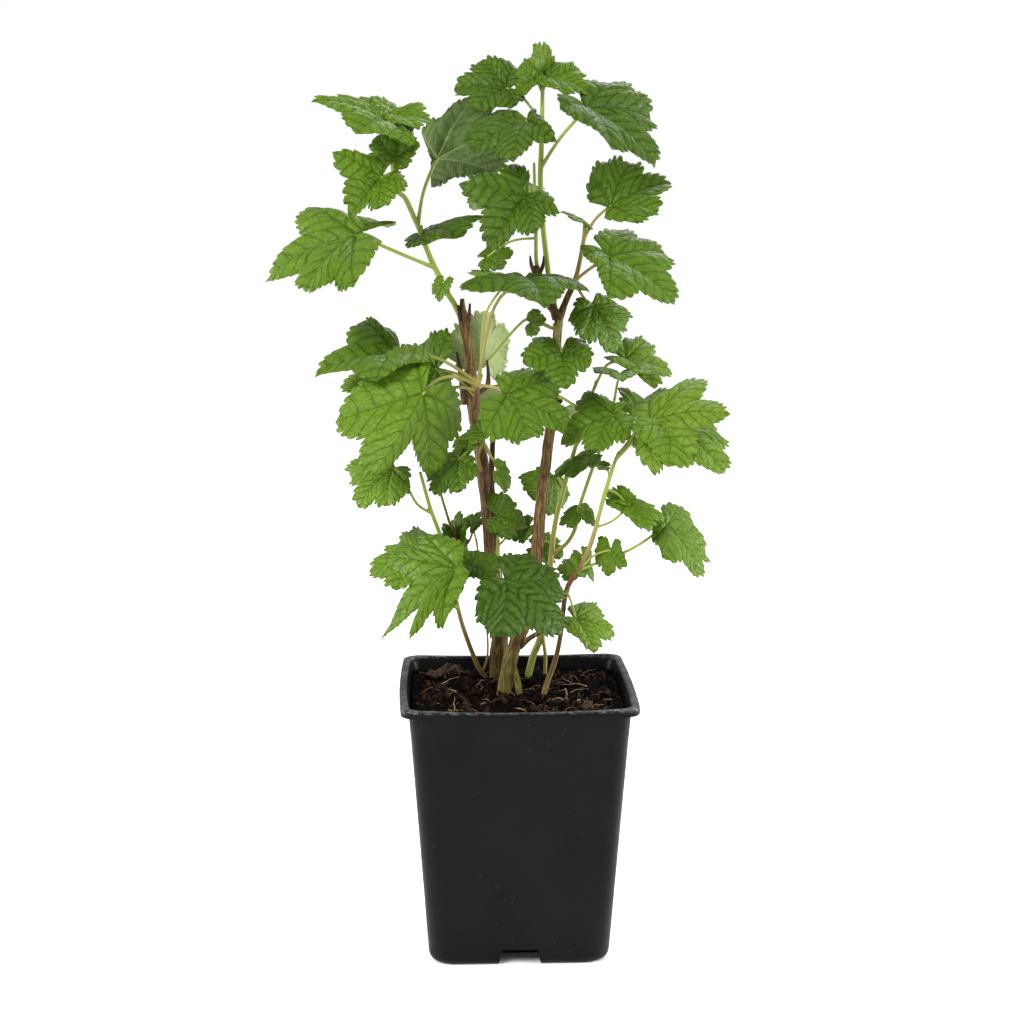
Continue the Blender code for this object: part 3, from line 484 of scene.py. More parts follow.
scatter("peat_crumbs", crumb_sample(),
        peat_finish("crumbled_peat", "#030202", "#0b0704", "#2a1a0d", 0.4),
        count=1500, sizes=(1.4, 5.5), tilt=3.0, seed=11)
scatter("bark_flakes", flake_sample(), fibrous("shredded_bark", "#0b0705", "#332115"),
        count=230, sizes=(3.0, 11.0), tilt=1.2, seed=12)
scatter("red_fibres", strand_sample(0.35, 0.026, 5), fibrous("red_peat_fibre", "#2c1a10", "#6b452b"),
        count=50, sizes=(8.0, 20.0), tilt=0.5, seed=13)
scatter("curled_fibres", strand_sample(0.9, 0.034, 6), fibrous("brown_peat_fibre", "#4a3320", "#a8835a"),
        count=60, sizes=(6.0, 16.0), tilt=0.7, seed=14)
scatter("pale_rootlets", strand_sample(0.8, 0.013, 8), fibrous("dead_rootlet", "#7d6549", "#cdb28a"),
        count=22, sizes=(13.0, 27.0), tilt=1.1, seed=15)
scatter("wood_chips", flake_sample(), fibrous("pale_wood_chip", "#8b6138", "#c49a66"),
        count=14, sizes=(2.5, 6.0), tilt=0.8, seed=16)


# Scraps of last year's leaves. Crumpled brown sheets of dead leaf on the bank at the back left and in
# two more places, made as small torn grids; they lie loose on the peat.
SCRAP_CELLS = 9
SCRAP_LIFT = 1.6
SCRAP_THICKNESS = 0.3
# each scrap's place, its size and how far it is turned
SCRAPS = ((-49.0, 49.0, 17.0, 0.4), (-37.0, 53.0, 12.0, 2.2), (-57.0, 38.0, 11.0, 4.0),
          (44.0, -30.0, 9.0, 1.2), (-20.0, -52.0, 10.0, 5.1))
dead_leaf = fibrous("dead_currant_leaf", "#20150f", "#54402f", 0.8)
for index, (x, y, size, turn) in enumerate(SCRAPS):
    shape = bmesh.new()
    bmesh.ops.create_grid(shape, x_segments=SCRAP_CELLS, y_segments=SCRAP_CELLS, size=0.5)
    for vertex in shape.verts:
        flat = vertex.co.copy()
        torn = 0.62 + 0.38 * noise.noise(Vector((flat.x * 3.0, flat.y * 3.0, index * 5.0)))
        crease = noise.noise(Vector((flat.x * 4.0, flat.y * 4.0, index * 3.0 + 1.0)))
        curl = 0.42 * flat.x ** 2 + 0.22 * crease
        across, along = flat.x * torn * 1.5, flat.y * torn * 1.1
        spot_x = x + size * (across * cos(turn) - along * sin(turn))
        spot_y = y + size * (across * sin(turn) + along * cos(turn))
        lean = 0.3 * across * size
        height = SOIL_LEVEL + crumbled(x, y) + SCRAP_LIFT + lean + curl * size
        vertex.co = Vector((spot_x, spot_y, height)) * MM
    scrap = piece_of("dead_leaf_scrap_%d" % index, shape)
    scrap.data.materials.append(dead_leaf)
    body = scrap.modifiers.new("Thickness", "SOLIDIFY")
    body.thickness = SCRAP_THICKNESS * MM
    settle(scrap)
    scrap.data.shade_smooth()
    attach(scrap, "root")


# The canes. Two pieces of wood two to three years old, cut back above the shoots that took over. Dull
# brown bark, streaked with paler grey where it weathers and peels, olive at the foot, with dead pruned
# stubs. Both stand in the peat.
def points_in(text):
    """The points in a line, with slashes between them, each as a tuple of numbers."""
    return [tuple(map(float, point.split())) for point in text.split("/") if point.strip()]


def by_node(text, row_in):
    """A table by node: its name, then a line to a row, which may run on after a slash."""
    table = {}
    for line in text.strip().replace("/\n", "/").splitlines():
        if line[0].isalpha():
            rows = table[line] = []
        else:
            rows.append(row_in(line))
    return table


# every stem of each cane: the main one, the right cane's fork, its twig and its root flare, then stubs.
# A point is read off the photo: across, up, how far behind the pot's middle, and the stem's thickness
CANES = by_node("""
cane_left
-12.5 174 42 12 / -12 188 41 11.6 / -11 204 40 11.4 / -14 235 38 11 / -18 287 36 9.8 / -23 324 34 8.6 /
-27 350 33 8.2 / -28.5 367 33 9.2 / -30.5 388 33 6.4 / -32 408 33 5.2 / -34 416 33 4.2 /
-34.5 423 33 2.6
-15 268 37 5 / -15.5 285 29 4.2 / -16 310 28 4 / -15 334 29 3.4
-33 356 33 5 / -35.5 375 29 3.6 / -38 389 29 1.2
-31.5 404 33 3.6 / -30.2 411 30 2.6 / -29.6 420 30 1.4
-27 362 34 4 / -18.5 368 36 3.4 / -18.8 384 36 1.3
-32.5 396 33 3.6 / -35.5 408 31 2.8 / -37 419 30 1.4
cane_right
-8 164 4 10.4 / -5 182 4 9.8 / 0.5 201 5 9 / 6 215 6 8.6 / 13 256 8 8.2 / 15.5 287 10 7.8 /
18.5 313 12 7 / 21 334 12 6.8 / 24 364 12 6.2 / 26 399 12 5.6 / 26.5 411 12 5.6 / 20 421 12 4.8 /
15 435 12 4.2 / 12.5 444 12 3.6
26 405 12 5 / 30 418 14 4.4 / 35 429 15 3.8
2.5 196 5 4 / 9 202 -1 3.4 / 18 207 -6 3
-4 188 4 5.5 / -0.5 176 1 5 / 2 165 -1 4.4 / 3 158 -1 4
22.5 352 12 4 / 29 358 10 2.6
14 435 12 4 / 9.8 443 10 2.6 / 8.6 450 9 1
13.6 437 12 3.6 / 16.8 444 9 2.2 / 17.2 450 8 0.9
24.5 410 12 4 / 22 419 9 2.8 / 21.4 428 8 1.2
""", points_in)
# the place of the camera that took the photo; a stem that is read to start lower than this is planted
EYE = Vector((-54.0, -1296.0, 510.0))
PLANTED_BELOW = 178.0
ROOT_DEPTH = 22.0


def seen_at(across, up, behind):
    """The place, in metres, of a point read at (across, up) that stands this far behind the plane."""
    reach = 1.0 - behind / EYE.y
    return Vector((EYE.x + (across - EYE.x) * reach, behind, EYE.z + (up - EYE.z) * reach)) * MM


def smooth_route(points, pieces):
    """Points on the Catmull-Rom curve through the given tuples, with this many pieces to a span."""
    ends = [points[0]] + list(points) + [points[-1]]
    route = []
    for before, start, end, after in zip(ends, ends[1:], ends[2:], ends[3:]):
        for piece in range(pieces):
            t = piece / pieces
            route.append(tuple(
                0.5 * (2 * b + (c - a) * t + (2 * a - 5 * b + 4 * c - d) * t * t
                       + (3 * b - a - 3 * c + d) * t ** 3)
                for a, b, c, d in zip(before, start, end, after)))
    route.append(tuple(points[-1]))
    return route


def add_rod(shape, points, radii, tints, sides, rough=0.0, seed=0):
    """Add a closed rod along the points. A tint is kept at every point; rough makes its skin uneven."""
    tint_layer = shape.verts.layers.float.get("tint") or shape.verts.layers.float.new("tint")
    across = None
    rings = []
    for index, (point, radius, tint) in enumerate(zip(points, radii, tints)):
        ahead = points[min(index + 1, len(points) - 1)] - points[max(index - 1, 0)]
        ahead.normalize()
        if across is None:
            across = ahead.orthogonal().normalized()
        across = (across - ahead * across.dot(ahead)).normalized()
        over = ahead.cross(across)
        ring = []
        for side in range(sides):
            angle = 2 * pi * side / sides
            out = across * cos(angle) + over * sin(angle)
            swell = 1.0
            if rough:
                spot = out * 1.3 + Vector((0, 0, (point.z / MM) / 26.0)) + Vector((seed, seed, seed))
                swell += rough * noise.noise(spot * 2.2) + rough * 0.6 * noise.noise(spot * 5.1)
            vertex = shape.verts.new(point + out * radius * swell * MM)
            vertex[tint_layer] = tint
            ring.append(vertex)
        rings.append(ring)
    for lower, upper in zip(rings, rings[1:]):
        for side in range(sides):
            after = (side + 1) % sides
            shape.faces.new((lower[side], lower[after], upper[after], upper[side]))
    shape.faces.new(list(reversed(rings[0])))
    shape.faces.new(rings[-1])


def stem_route(readings, pieces):
    """Points and radii of a stem; one that is planted goes on straight down into the peat."""
    route = smooth_route(readings, pieces)
    points = [seen_at(*reading[:3]) for reading in route]
    radii = [reading[3] / 2 for reading in route]
    if readings[0][1] < PLANTED_BELOW:
        points.insert(0, points[0] - Vector((0, 0, ROOT_DEPTH * MM)))
        radii.insert(0, radii[0])
    return points, radii


def bark(name, olive_share):
    """Currant bark: dull brown, split lengthwise into fine pale and dark streaks, olive at its foot."""
    material, tree, shader, where = new_finish(name, 0.66, 1.45, 0.25)
    # the streaks are about 0.7 mm wide and ten times as long
    drawn_out = lay(tree, "ShaderNodeMapping", {"Vector": where, "Scale": (1.0, 1.0, 0.09)}).outputs[0]
    streaks = grain(tree, drawn_out, 1.0, 4.0, 0.65)
    patches = grain(tree, where, 13.0, 3.0, 0.6)
    brown = ramp(tree, streaks, (0.28, "#26190c"), (0.44, "#503a1f"), (0.60, "#796035"),
                 (0.76, "#b39b68"))
    olive = ramp(tree, streaks, (0.30, "#3a3514"), (0.52, "#6c662a"), (0.72, "#978e4b"))
    height = lay(tree, "ShaderNodeSeparateXYZ", {0: where}).outputs["Z"]
    low = fade(tree, height, 0.176, 0.212, 1.0, 0.0)
    share = fade(tree, sum_of(tree, low, result_of(tree, patches, 0.5, "SUBTRACT")), 0.35, 0.75)
    colour = blend_of(tree, product_of(tree, share, olive_share), brown, olive)
    # dead stubs and cut ends are nearly black
    tint = lay(tree, "ShaderNodeAttribute", attribute_name="tint").outputs["Fac"]
    colour = blend_of(tree, fade(tree, tint, 0.2, 0.9), colour, "#361b14")
    colour = blend_of(tree, fade(tree, patches, 0.6, 0.75, 0.0, 0.5), colour, "#2b1d13")
    tree.links.new(colour, shader.inputs["Base Color"])
    relief(tree, shader, sum_of(tree, streaks, grain(tree, where, 1.1, 3.0)), 0.5, 0.9)
    return material


bark_finishes = {"cane_left": bark("old_blackcurrant_bark", 0.18),
                 "cane_right": bark("young_blackcurrant_bark", 0.8)}
for name, stems in CANES.items():
    shape = bmesh.new()
    for index, readings in enumerate(stems):
        points, radii = stem_route(readings, 7)
        # the fork of the right cane and the live twig at its foot are no stubs
        stub = index > (1 if name == "cane_right" else 0) and readings[0][1] > 200
        tints = [0.2 + 0.8 * k / len(points) if stub else 0.0 for k in range(len(points))]
        if not stub:
            tints[-3:] = [0.3, 0.6, 0.9]
        # a swollen, scarred ring wherever a shoot or a stub once grew
        thick = [radius * (1 + 0.10 * noise.noise(Vector((0.0, index * 7.0, point.z / MM / 9.0))))
                 for point, radius in zip(points, radii)]
        add_rod(shape, points, thick, tints, 22 if index == 0 else 14, 0.13, index + len(name))
    cane = piece_of(name + "_bark", shape)
    cane.data.materials.append(bark_finishes[name])
    cane.data.shade_smooth()
    cane.data.set_sharp_from_angle(angle=radians(60))
    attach(cane, "root")
    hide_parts(name)


# The green stems and the leaf stalks. This year's shoots: round, smooth and finely downy, yellow-green
# turning tan or red-brown towards the foot as they ripen into wood. Each leaf stalk is grooved, widens
# into a sheath where it leaves its stem, and has a small bud in its axil.
STEMS = by_node("""
leafy_shoot_upper_left
-38.2 417 33 3.6 / -44 427 31 3.8 / -48.5 436 29 3.8 / -55 450 26 3.6 / -61 466 23 3.4 /
-64.5 474 22 3.3 / -70 486 19 3.2 / -75 491 17 3 / -77.5 504 15 2.8 / -78.5 520 14 2.4 / -78.5 533 14 2
leafy_shoot_top
23 425.5 20 3 / 20.8 435 19 3.5 / 16.5 471 15 3.5 / 15 497 13 3.4 / 15.6 518 12 3.2 / 16 538 12 2.8 /
16.4 554 11 2.2
leafy_shoot_top_slim
12.4 449.5 11 2.6 / 12.3 468 8 2.4 / 11.5 488 5 2 / 11 508 4 1.6
leafy_twig_upper_right
36.5 433.5 15 3 / 39 441 14 3 / 42.5 459 13 2.8 / 43.2 469 14 2.4
leafy_spur_left
-26 359 26 3.4 / -25 368 22 4 / -22.5 375 21 3.2
leafy_spur_right
25.5 396 3.5 3 / 26.5 403 3 3.4 / 27.5 409 3.5 2.8
leafy_stem_left
-19 174.5 44 3.2 / -24.5 182 42 3.2 / -30 195.5 38 3.2 / -35.5 212 32 3 / -39.5 228.5 27 3 /
-44 250 22 2.8 / -48 267 17 2.8 / -54.5 285 12 2.6 / -58 297 9 2.4 / -62 312 6 2
-42 240 24 2.6 / -37 256 34 2.4 / -39.5 270 40 2.2 / -43 278 42 2 / -49.5 300 44 1.8
-39 258 36 2 / -31 266 48 1.6 / -27 277 55 1.4
-22 179 43 2 / -19 190 50 1.6 / -19 205 54 1.5 / -22 235 58 1.5 / -26 268 57 1.4
leafy_spur_front
-11 240 26 3 / -12 250 24 3.2 / -12 268 22 2.4
leafy_spur_bud
-25 322 22 2.6 / -21.5 330 21 3 / -16.5 322 19 2.2
leafy_stem_back
8 177 50 5 / 11 190 50 4.8 / 16 204 48 4.6 / 21 240 44 4 / 25 277 40 3.6 / 33 310 34 3.2 / 38 328 30 2.8 /
44 350 27 2.4 / 50 366 26 2
18.5 175 48 2.8 / 19 190 48 2.6 / 17.5 204 47 2.4 / 20 222 46 2
23 258 42 3 / 32 264 34 2.8 / 38 274 29 2.8 / 41 289 26 2.6 / 49 313 22 2.4 / 55.5 330 18 2.2 /
60 345 15 2 / 63 358 12 1.8
leafy_stem_right
18 164 4 3.8 / 21 174 3 3.6 / 25.5 187 2 3.4 / 29 204 0 3.2 / 32.5 233 -2 3.4 / 40.5 247 -4 3.6 /
46 258 -5 3.2 / 51 273 -6 3 / 54 285 -7 2.8 / 58 300 -8 2.8 / 64.5 320 -9 2.4 / 70 328 -10 2
""", points_in)
# how far each stem has ripened from green to brown: at its foot, half-way and at its tip
RIPENESS = {
    "leafy_shoot_upper_left": ((0.12, 0.02, 0.0),),
    "leafy_shoot_top": ((0.2, 0.0, 0.0),),
    "leafy_shoot_top_slim": ((0.2, 0.02, 0.0),),
    "leafy_twig_upper_right": ((0.8, 0.5, 0.3),),
    "leafy_spur_left": ((0.85, 0.75, 0.25),),
    "leafy_spur_right": ((0.6, 0.4, 0.3),),
    "leafy_stem_left": ((0.5, 0.34, 0.0), (0.9, 0.8, 0.4), (0.8, 0.7, 0.4), (0.5, 0.4, 0.4)),
    "leafy_spur_front": ((0.5, 0.3, 0.2),),
    "leafy_spur_bud": ((0.5, 0.4, 0.3),),
    "leafy_stem_back": ((0.12, 0.3, 0.0), (0.35, 0.3, 0.1), (0.4, 0.1, 0.0)),
    "leafy_stem_right": ((0.34, 0.7, 0.0),),
}

# where each shoot or spur is joined into its cane, a reading put before its first one
JOINED_AT = {
    "leafy_shoot_upper_left": (-32.5, 402, 33, 3.2),
    "leafy_shoot_top": (25.5, 413, 13, 3.0),
    "leafy_shoot_top_slim": (13.2, 441, 12, 2.6),
    "leafy_twig_upper_right": (33, 425, 14, 3.0),
    "leafy_spur_left": (-27, 352, 31, 4.0),
    "leafy_spur_right": (25.6, 391, 11, 3.0),
    "leafy_spur_front": (-12.5, 228, 36, 3.0),
    "leafy_spur_bud": (-22, 312, 32, 2.6),
}


def leaf_in(line):
    """One leaf's row: its joint, the points its stalk passes, then its places, None where one is blank."""
    joint, passed, *places = (points_in(field) for field in line.split("|"))
    return (joint[0], passed, *(place[0] if place else None for place in places))


# The leaves of each node, a line to a leaf: where the stalk leaves its stem | points the stalk passes |
# the heart, where the veins meet | the tips of the main | left | right | left base | right base vein.
# A base vein that is left blank follows from the others.
LEAVES = by_node("""
leafy_shoot_upper_left
-54.5 441|-71.6 450.7 16|-101 463.5 6|-161 437 19|-133.5 431.5 -32|-132 483.5 49|-104.5 436 -45|-84 470 13
-61 469.5|-58.5 490 26|-50 511 34|4 531 50|-14 504 74|-27 549 42||-62 530 22
-73 489||-85 499 6|-105 475.5 -14|-87 480.5 -21|-115 516 -3|-69 496 -8|-82 509 12
-77 504||-76.5 510 10|-67 533 15|-89 525 18|-61 519 -1||-70 505.5 -1
-78 529||-81 533 8|-127 548 -1|-99 530 -20|-103 549.5 25||
-78.5 531||-77.5 537 22|-90.5 549.5 22|-88 541 10|-80 547.5 33||
-78.5 532||-75 537 14|-52 533.5 16|-58 545 26|-61 530 -1|-70 543.5 22|
-48.5 436||-46 433 20|-49.5 421 18|-43.5 427 11|-54.5 428 24|-40.5 436 13|-50.5 437 25
-61 466||-58 464 30|-19 476 30|-36 471 59|-34 465 1||
leafy_shoot_top
16.4 553||15 561 10|19.5 581 18|12 580.5 1|25 569 25|9.5 568 -2|
16.4 552||21.5 560 8|46 551.5 3|41 566 18|31 551 -11||
16.3 551||11 560 10|-2 549 18|5 550 2|1 568 19||
16 530||-6 554 28|-39.5 554.5 36|-27 541.5 10|-23 572 43||-2 569 36
16 524||6 534 -6|-3 510.5 -39|24 524.5 -34|-29 517 -9|12 539.5 -3|-21 538 18
19.7 504.7|28 524 6|44 541.5 -4|89 507 -11|87 538 22|62 519 -45|60 560 23|30 544 -29
leafy_shoot_top_slim
12 475|7.5 478 0|5.5 487 -22|-18 453 -41|12 466 -55|-36 497 -28|26 478.5 -48|-1 508.5 -14
12.3 462||-19 449 8|-2 453 5|-10 458 17|-9 442 -2||
11.5 488||-6 490 50|-10 472 88|-30 482 62|16 482 66||
leafy_twig_upper_right
44 462|50 473 10|59.5 481.5 6|97.5 497 9|71 509.5 24|88 479 -20|47 503 23|76 473 -24
37.5 432.5|45 440.5 6|58.5 449.7 -8|102 421.5 -28|95.5 453 9|60 427 -48|64 467.5 17|44.5 453 -18
43.2 466||42.5 470.5 18|27 478.5 17|36 473 6|34 476 29||
38.5 427|43.5 422.5 10|49 418.5 4|64 388 -3|72 408.3 15|42 398 -16|66 420 17|35.5 413 -10
leafy_spur_left
-25 370||-76 388 14|-129 376.5 7|-90 375.5 -28|-98 411 39||-76 403 32
-25.5 368|-39.5 373.5 14/-51 371 -6|-59.5 363 -26|-92 308 -59|-56 311 -14|-114 346 -22|-35 349 6|-68 394.5 2
-27 360||-51.5 378.5 22|-76 374 39|-60 354 27|-60 396 41|-43 366 16|-43.5 401 29
-26 372||-88 372 34|-113 368 39|-103 357 22|-100 382 50||
-17.5 366.5|-12 366 0|-6 361.5 -22|35 340.5 -22|25 373 -1|8.5 334.5 -49|2 378.5 -5|-20 338 -56
-20.5 368|-14 418 6|6 436 -4|18 422 -58|46.5 431 -28|-35.5 432 -30|26 434 2|-17 434 4
-20 372|-20 412 20|-6 433 26|-31 441 32|-22 433 10|-18 441 46||
-25 364|-42 366 24|-66 352 62|-76 332 102|-98 345 72|-42 345 88||
leafy_spur_right
26 397||29 389 -6|32 366 -29|48 382.7 -23|4 382.7 -19||15 399 0
26.5 403|20 405 6/14 407.5 24/4 408.5 40|-19.5 382 44|-20 416 37|-5.5 402 62|-43 402 42|-9 378 60|-46 388 45
26 402||9 408 2|18.5 410 -6|13.5 416.5 1|12.5 400 -5||
leafy_stem_left
-39.5 223|-46 229 10|-38.6 248.5 -28|-91 204.5 -15|-70.5 205 -72|-86 257 12|-50 213 -68|-60 272 0
-48 267||-58 257 10|-96.4 249 15|-79 236 -13|-78 267 38||-62 275.5 40
-40 235||-34 251 12|-3.5 252.5 8|-19 260 20|-17 243 -10||
-44 250||-54 250 60|-62 232 96|-80 243 68|-32 243 84||
-45 255||-40 262 40|-47 279 45|-50 268 32|-34 272 51||
-43 278||-38.5 270 46|-37 287 52|-44 278 58|-32 280 38||
-27 262||-29 277 56|-22 287 59|-31.5 284 64|-22 279 50||
-55 284|-64 291 10/-71.5 304.5 14|-79.5 314 18|-103 290 11|-84 291 -6|-107.5 310 31|-69.5 303 -4|-99 322 36
leafy_spur_front
-11 240|-9 236 -4|-5.6 240 -44|30.6 205.5 -60|30 238 -28|-10.5 205 -73|3 258.4 -18|-25 222 -64
-13 262||-12 283 14|7 278 23|-4 297 27|-4 267 13||
-12 262||8 276 29|-3 267 32|4 265 24|-1 279 38||
leafy_spur_bud
-22 326||-37 320 6|-54 298 -5|-37 299.5 -14|-57.5 310 17|-26 313 -7|
-21 330||-22 338 14|-33 336 18|-29 330 10|-28 343 21||
-21 330||-29.5 333 20|-41 322 21|-33 321 11|-41 331 29||
-15.5 320||-12 312 10|-3 303 19|-5 316 22|-7 298 5||
leafy_stem_back
24 300||24 308 58|21.5 282.5 51|33.5 291 66|10 295 45|31 308 66|5 310 47
33 310||46 321 26|22.5 309.5 29|36 308.5 9|35 321 46||
23 262||13 262 60|31 257 60|26 270 67|21.5 251 48||
22 248||38 247 34|26.5 248 31|31 240 34|31 254.5 39||
40 288||42 285 24|27 277.5 26|36 275.5 14|33 288 36||
41.5 290||43.5 286 20|51 276 19|51 284 26|45.5 278 11||
38 328||62.5 348.5 -4|27 331 4|50 326 -25|42 365 19|72 335 -34|62 357.5 5
50 366|57 379.5 22/64 383 18|70 384 14|101 376 22|84 397 35|90 367 -3|68 397 26|59 385.5 4
63.5 358||66.4 375 6|68 371 -20|87 377 -6|50 377 -6||
60 345||78 352 20|66 367 26|66.5 355 13|80 361.5 34||
38 328||50 350 72|52 334 104|30 344 84|72 344 86||
44 350||0 362 66|6 345 104|-24 355 80|28 355 80||
leafy_stem_right
32 232||38.6 215 -12|65.6 204.5 -8|54.5 222.5 7|51.6 192 -27|43 226 5|32 210 -23
40.5 247|73.7 260 -2|97.5 276 4|120 242.5 -17|125 257 14|97.5 257 -30|106 290 35|90.5 268 -8
40 246||61.3 260 -12|59 242.5 -18|72 249.5 -18|51 252 -6|66 267.3 -11|54 269.5 -1
42 250||43 256 6|52 239 3|49 250 17|41.5 243 -7|48 262.5 16|
58 299||72 290 -2|59 299 7|58 290.5 -6|69 303 -1||
54 274.5|62 279 -6|73 288.5 -8|97.5 282 -6|86 291.5 8|87 273.5 -23||79 277 -23
59 306||58.5 315 -2|50.5 316 0|53 313 -6|54 319 3||
64.5 321|78 336 -12|86 345 -16|137 351 -39|119 373 1|111 321 -53|86 363 13|88 313 -45
64.5 320||98 340.5 -24|136 312.5 -45|133.5 335.5 -9|99 317 -58||
64.5 320||100 350 44|110 332 80|84 343 64|124 343 60||
""", leaf_in)
# a base vein that isn't read: this much of its side vein, less this much of the main one
BASE_FROM_SIDE = 0.727
BASE_FROM_MAIN = 0.604
# a leaf stalk's radius: this, and this much more for each millimetre of its blade
STALK_RADIUS = 0.55
STALK_GROWTH = 0.009
STALK_RISE = 0.12
BUD_LENGTH = 4.5


def nearest_on(stems, joint):
    """The reading on these stems that looks nearest to the joint."""
    candidates = [reading for readings in stems for reading in smooth_route(readings, 6)]
    return min(candidates, key=lambda r: (r[0] - joint[0]) ** 2 + (r[1] - joint[1]) ** 2)


def veins_of(row):
    """The heart, the five main veins as vectors, and the way that the blade's upper face looks."""
    _, _, heart_reading, tip, left, right, left_base, right_base = row
    heart = seen_at(*heart_reading)
    main, left, right = (seen_at(*reading) - heart for reading in (tip, left, right))
    bases = []
    for reading, beside in ((left_base, left), (right_base, right)):
        bases.append(BASE_FROM_SIDE * beside - BASE_FROM_MAIN * main if reading is None
                     else seen_at(*reading) - heart)
    upward = (right.cross(main) + main.cross(left)).normalized()
    return heart, (main, left, right, *bases), upward


def stalk_route(row, stems):
    """Points of a leaf stalk from inside its stem to just past the heart of its blade."""
    heart, veins, upward = veins_of(row)
    start = nearest_on(stems, row[0])
    if row[1]:
        route = smooth_route([start[:3], *row[1], row[2]], 5)
        points = [seen_at(*reading) for reading in route]
    else:
        root = seen_at(*start[:3])
        rise = Vector((0, 0, STALK_RISE * (heart - root).length))
        middle = root.lerp(heart, 0.5) + rise
        corners = [tuple(root), tuple(middle), tuple(heart)]
        points = [Vector(point) for point in smooth_route(corners, 7)]
    points[-1] = heart + veins[0] * 0.02 - upward * 0.5 * MM
    return points


def add_bud(shape, place, ahead, tint):
    """A pointed bud that lies along its stem."""
    radii = (0.5, 0.95, 1.15, 1.1, 0.85, 0.5, 0.12)
    points = [place + ahead * BUD_LENGTH * MM * k / 6 for k in range(7)]
    add_rod(shape, points, radii, [tint] * 7, 8)


def stem_skin():
    """Young currant stem: satin yellow-green, drawn out in fine streaks, ripening to red-brown."""
    material, tree, shader, where = new_finish("green_currant_stem", 0.5, 1.44, 0.3)
    drawn_out = lay(tree, "ShaderNodeMapping", {"Vector": where, "Scale": (1.0, 1.0, 0.15)}).outputs[0]
    streaks = grain(tree, drawn_out, 0.9, 3.0, 0.6)
    tint = lay(tree, "ShaderNodeAttribute", attribute_name="tint").outputs["Fac"]
    loose = product_of(tree, result_of(tree, streaks, 0.5, "SUBTRACT"), 0.5)
    ripe = sum_of(tree, tint, loose)
    colour = ramp(tree, ripe, (0.0, "#8ba044"), (0.22, "#93954a"), (0.40, "#96824c"), (0.62, "#644427"),
                  (0.95, "#4c2c20"))
    tree.links.new(colour, shader.inputs["Base Color"])
    shader.inputs["Subsurface Weight"].default_value = 0.08
    shader.inputs["Subsurface Radius"].default_value = (0.5, 0.8, 0.2)
    shader.inputs["Subsurface Scale"].default_value = 1.0 * MM
    relief(tree, shader, streaks, 0.12, 0.6)
    return material


stem_finish = stem_skin()
for name, stems in STEMS.items():
    shape = bmesh.new()
    draw = random.Random(name)
    for index, (readings, (foot, middle, tip)) in enumerate(zip(stems, RIPENESS[name])):
        if index == 0 and name in JOINED_AT:
            readings = (JOINED_AT[name], *readings)
        points, radii = stem_route(readings, 6)
        count = len(points)
        ways = [min(1.0, 1.25 * k / count) for k in range(count)]
        tints = [foot + (middle - foot) * 2 * way if way < 0.5
                 else middle + (tip - middle) * (2 * way - 1) for way in ways]
        add_rod(shape, points, radii, tints, 14, 0.05, count)
    for row in LEAVES[name]:
        points = stalk_route(row, stems)
        count = len(points)
        size = (seen_at(*row[3]) - seen_at(*row[2])).length / MM
        thickness = STALK_RADIUS + STALK_GROWTH * size
        radii = [thickness * (1.0 + 0.5 * exp(-k / count * 9.0)) for k in range(count)]
        radii[-1] *= 0.6
        blush = 0.9 * RIPENESS[name][0][2] + draw.uniform(0.04, 0.2)
        tints = [blush * (1 - 0.6 * k / count) for k in range(count)]
        add_rod(shape, points, radii, tints, 10, 0.04, count)
        if size > 28:
            ahead = (points[2] - points[0]).normalized()
            bud_way = (ahead + Vector((0, 0, 1.4))).normalized()
            add_bud(shape, points[0] + ahead * 1.2 * MM, bud_way, draw.uniform(0.15, 0.5))
    stalks = piece_of(name + "_stalks", shape)
    stalks.data.materials.append(stem_finish)
    stalks.data.shade_smooth()
    stalks.data.set_sharp_from_angle(angle=radians(60))
    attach(stalks, "root")
    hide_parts(name)


# The leaf blades. Three to five broad lobes with coarse double teeth, a heart-shaped foot, and main
# veins that run from the heart into the lobes. The blade bulges up between the side veins; its upper
# face is satin green, its lower face paler and duller, with the veins standing out.
VEIN_ANGLES = (0.0, 56.0, 118.0, 180.0)
VEIN_LENGTHS = (1.0, 0.84, 0.62, 0.06)
SINUSES = (28.0, 88.0)
# the plain edge down half a leaf: an angle from the main vein and the edge's distance from the heart
EDGE = points_in("0 1 / 28 .74 / 56 .84 / 88 .68 / 118 .65 / 152 .42 / 180 .06")
BAY_SPREAD = 0.05
# leaves whose outline departs from that one: by node and place in its list
OTHER_EDGES = {
    # deep bays between narrow lobes that hang apart
    ("leafy_stem_left", 0): points_in("0 1 / 26 .46 / 56 .88 / 86 .46 / 118 .66 / 150 .36 / 180 .06"),
    ("leafy_shoot_top_slim", 0): points_in("0 1/28 .60/56 .86/90 .52/118 .65/150 .38/180 .06"),
    # the leaf behind, painted dark as in shade, its foot cut straight
    ("leafy_shoot_upper_left", 1): points_in("0 1 / 28 .74 / 56 .84 / 88 .62 / 118 .58 / 180 .06"),
    # the two large leaves at the outer left and right, their three lobes well apart
    ("leafy_shoot_upper_left", 0): points_in("0 1/27 .62/56 .88/88 .58/118 .68/152 .42/180 .06"),
    ("leafy_stem_right", 7): points_in("0 1 / 27 .63 / 56 .86 / 88 .60 / 118 .66 / 152 .42 / 180 .06"),
    # the leaf half hidden by the large one in front, its foot cut straight as well
    ("leafy_spur_left", 0): points_in("0 1 / 28 .70 / 56 .86 / 88 .60 / 118 .60 / 180 .06"),
    # the large leaf in front, its left and right half: only the left half has a deep bay
    ("leafy_spur_left", 1): (
        points_in("0 1 / 27 .47 / 56 .88 / 88 .68 / 118 .65 / 152 .42 / 180 .06"), EDGE),
}
LOBE_BULGE = 0.13
TOOTH_WIDTH = 5.0
TOOTH_DEPTH = 3.6
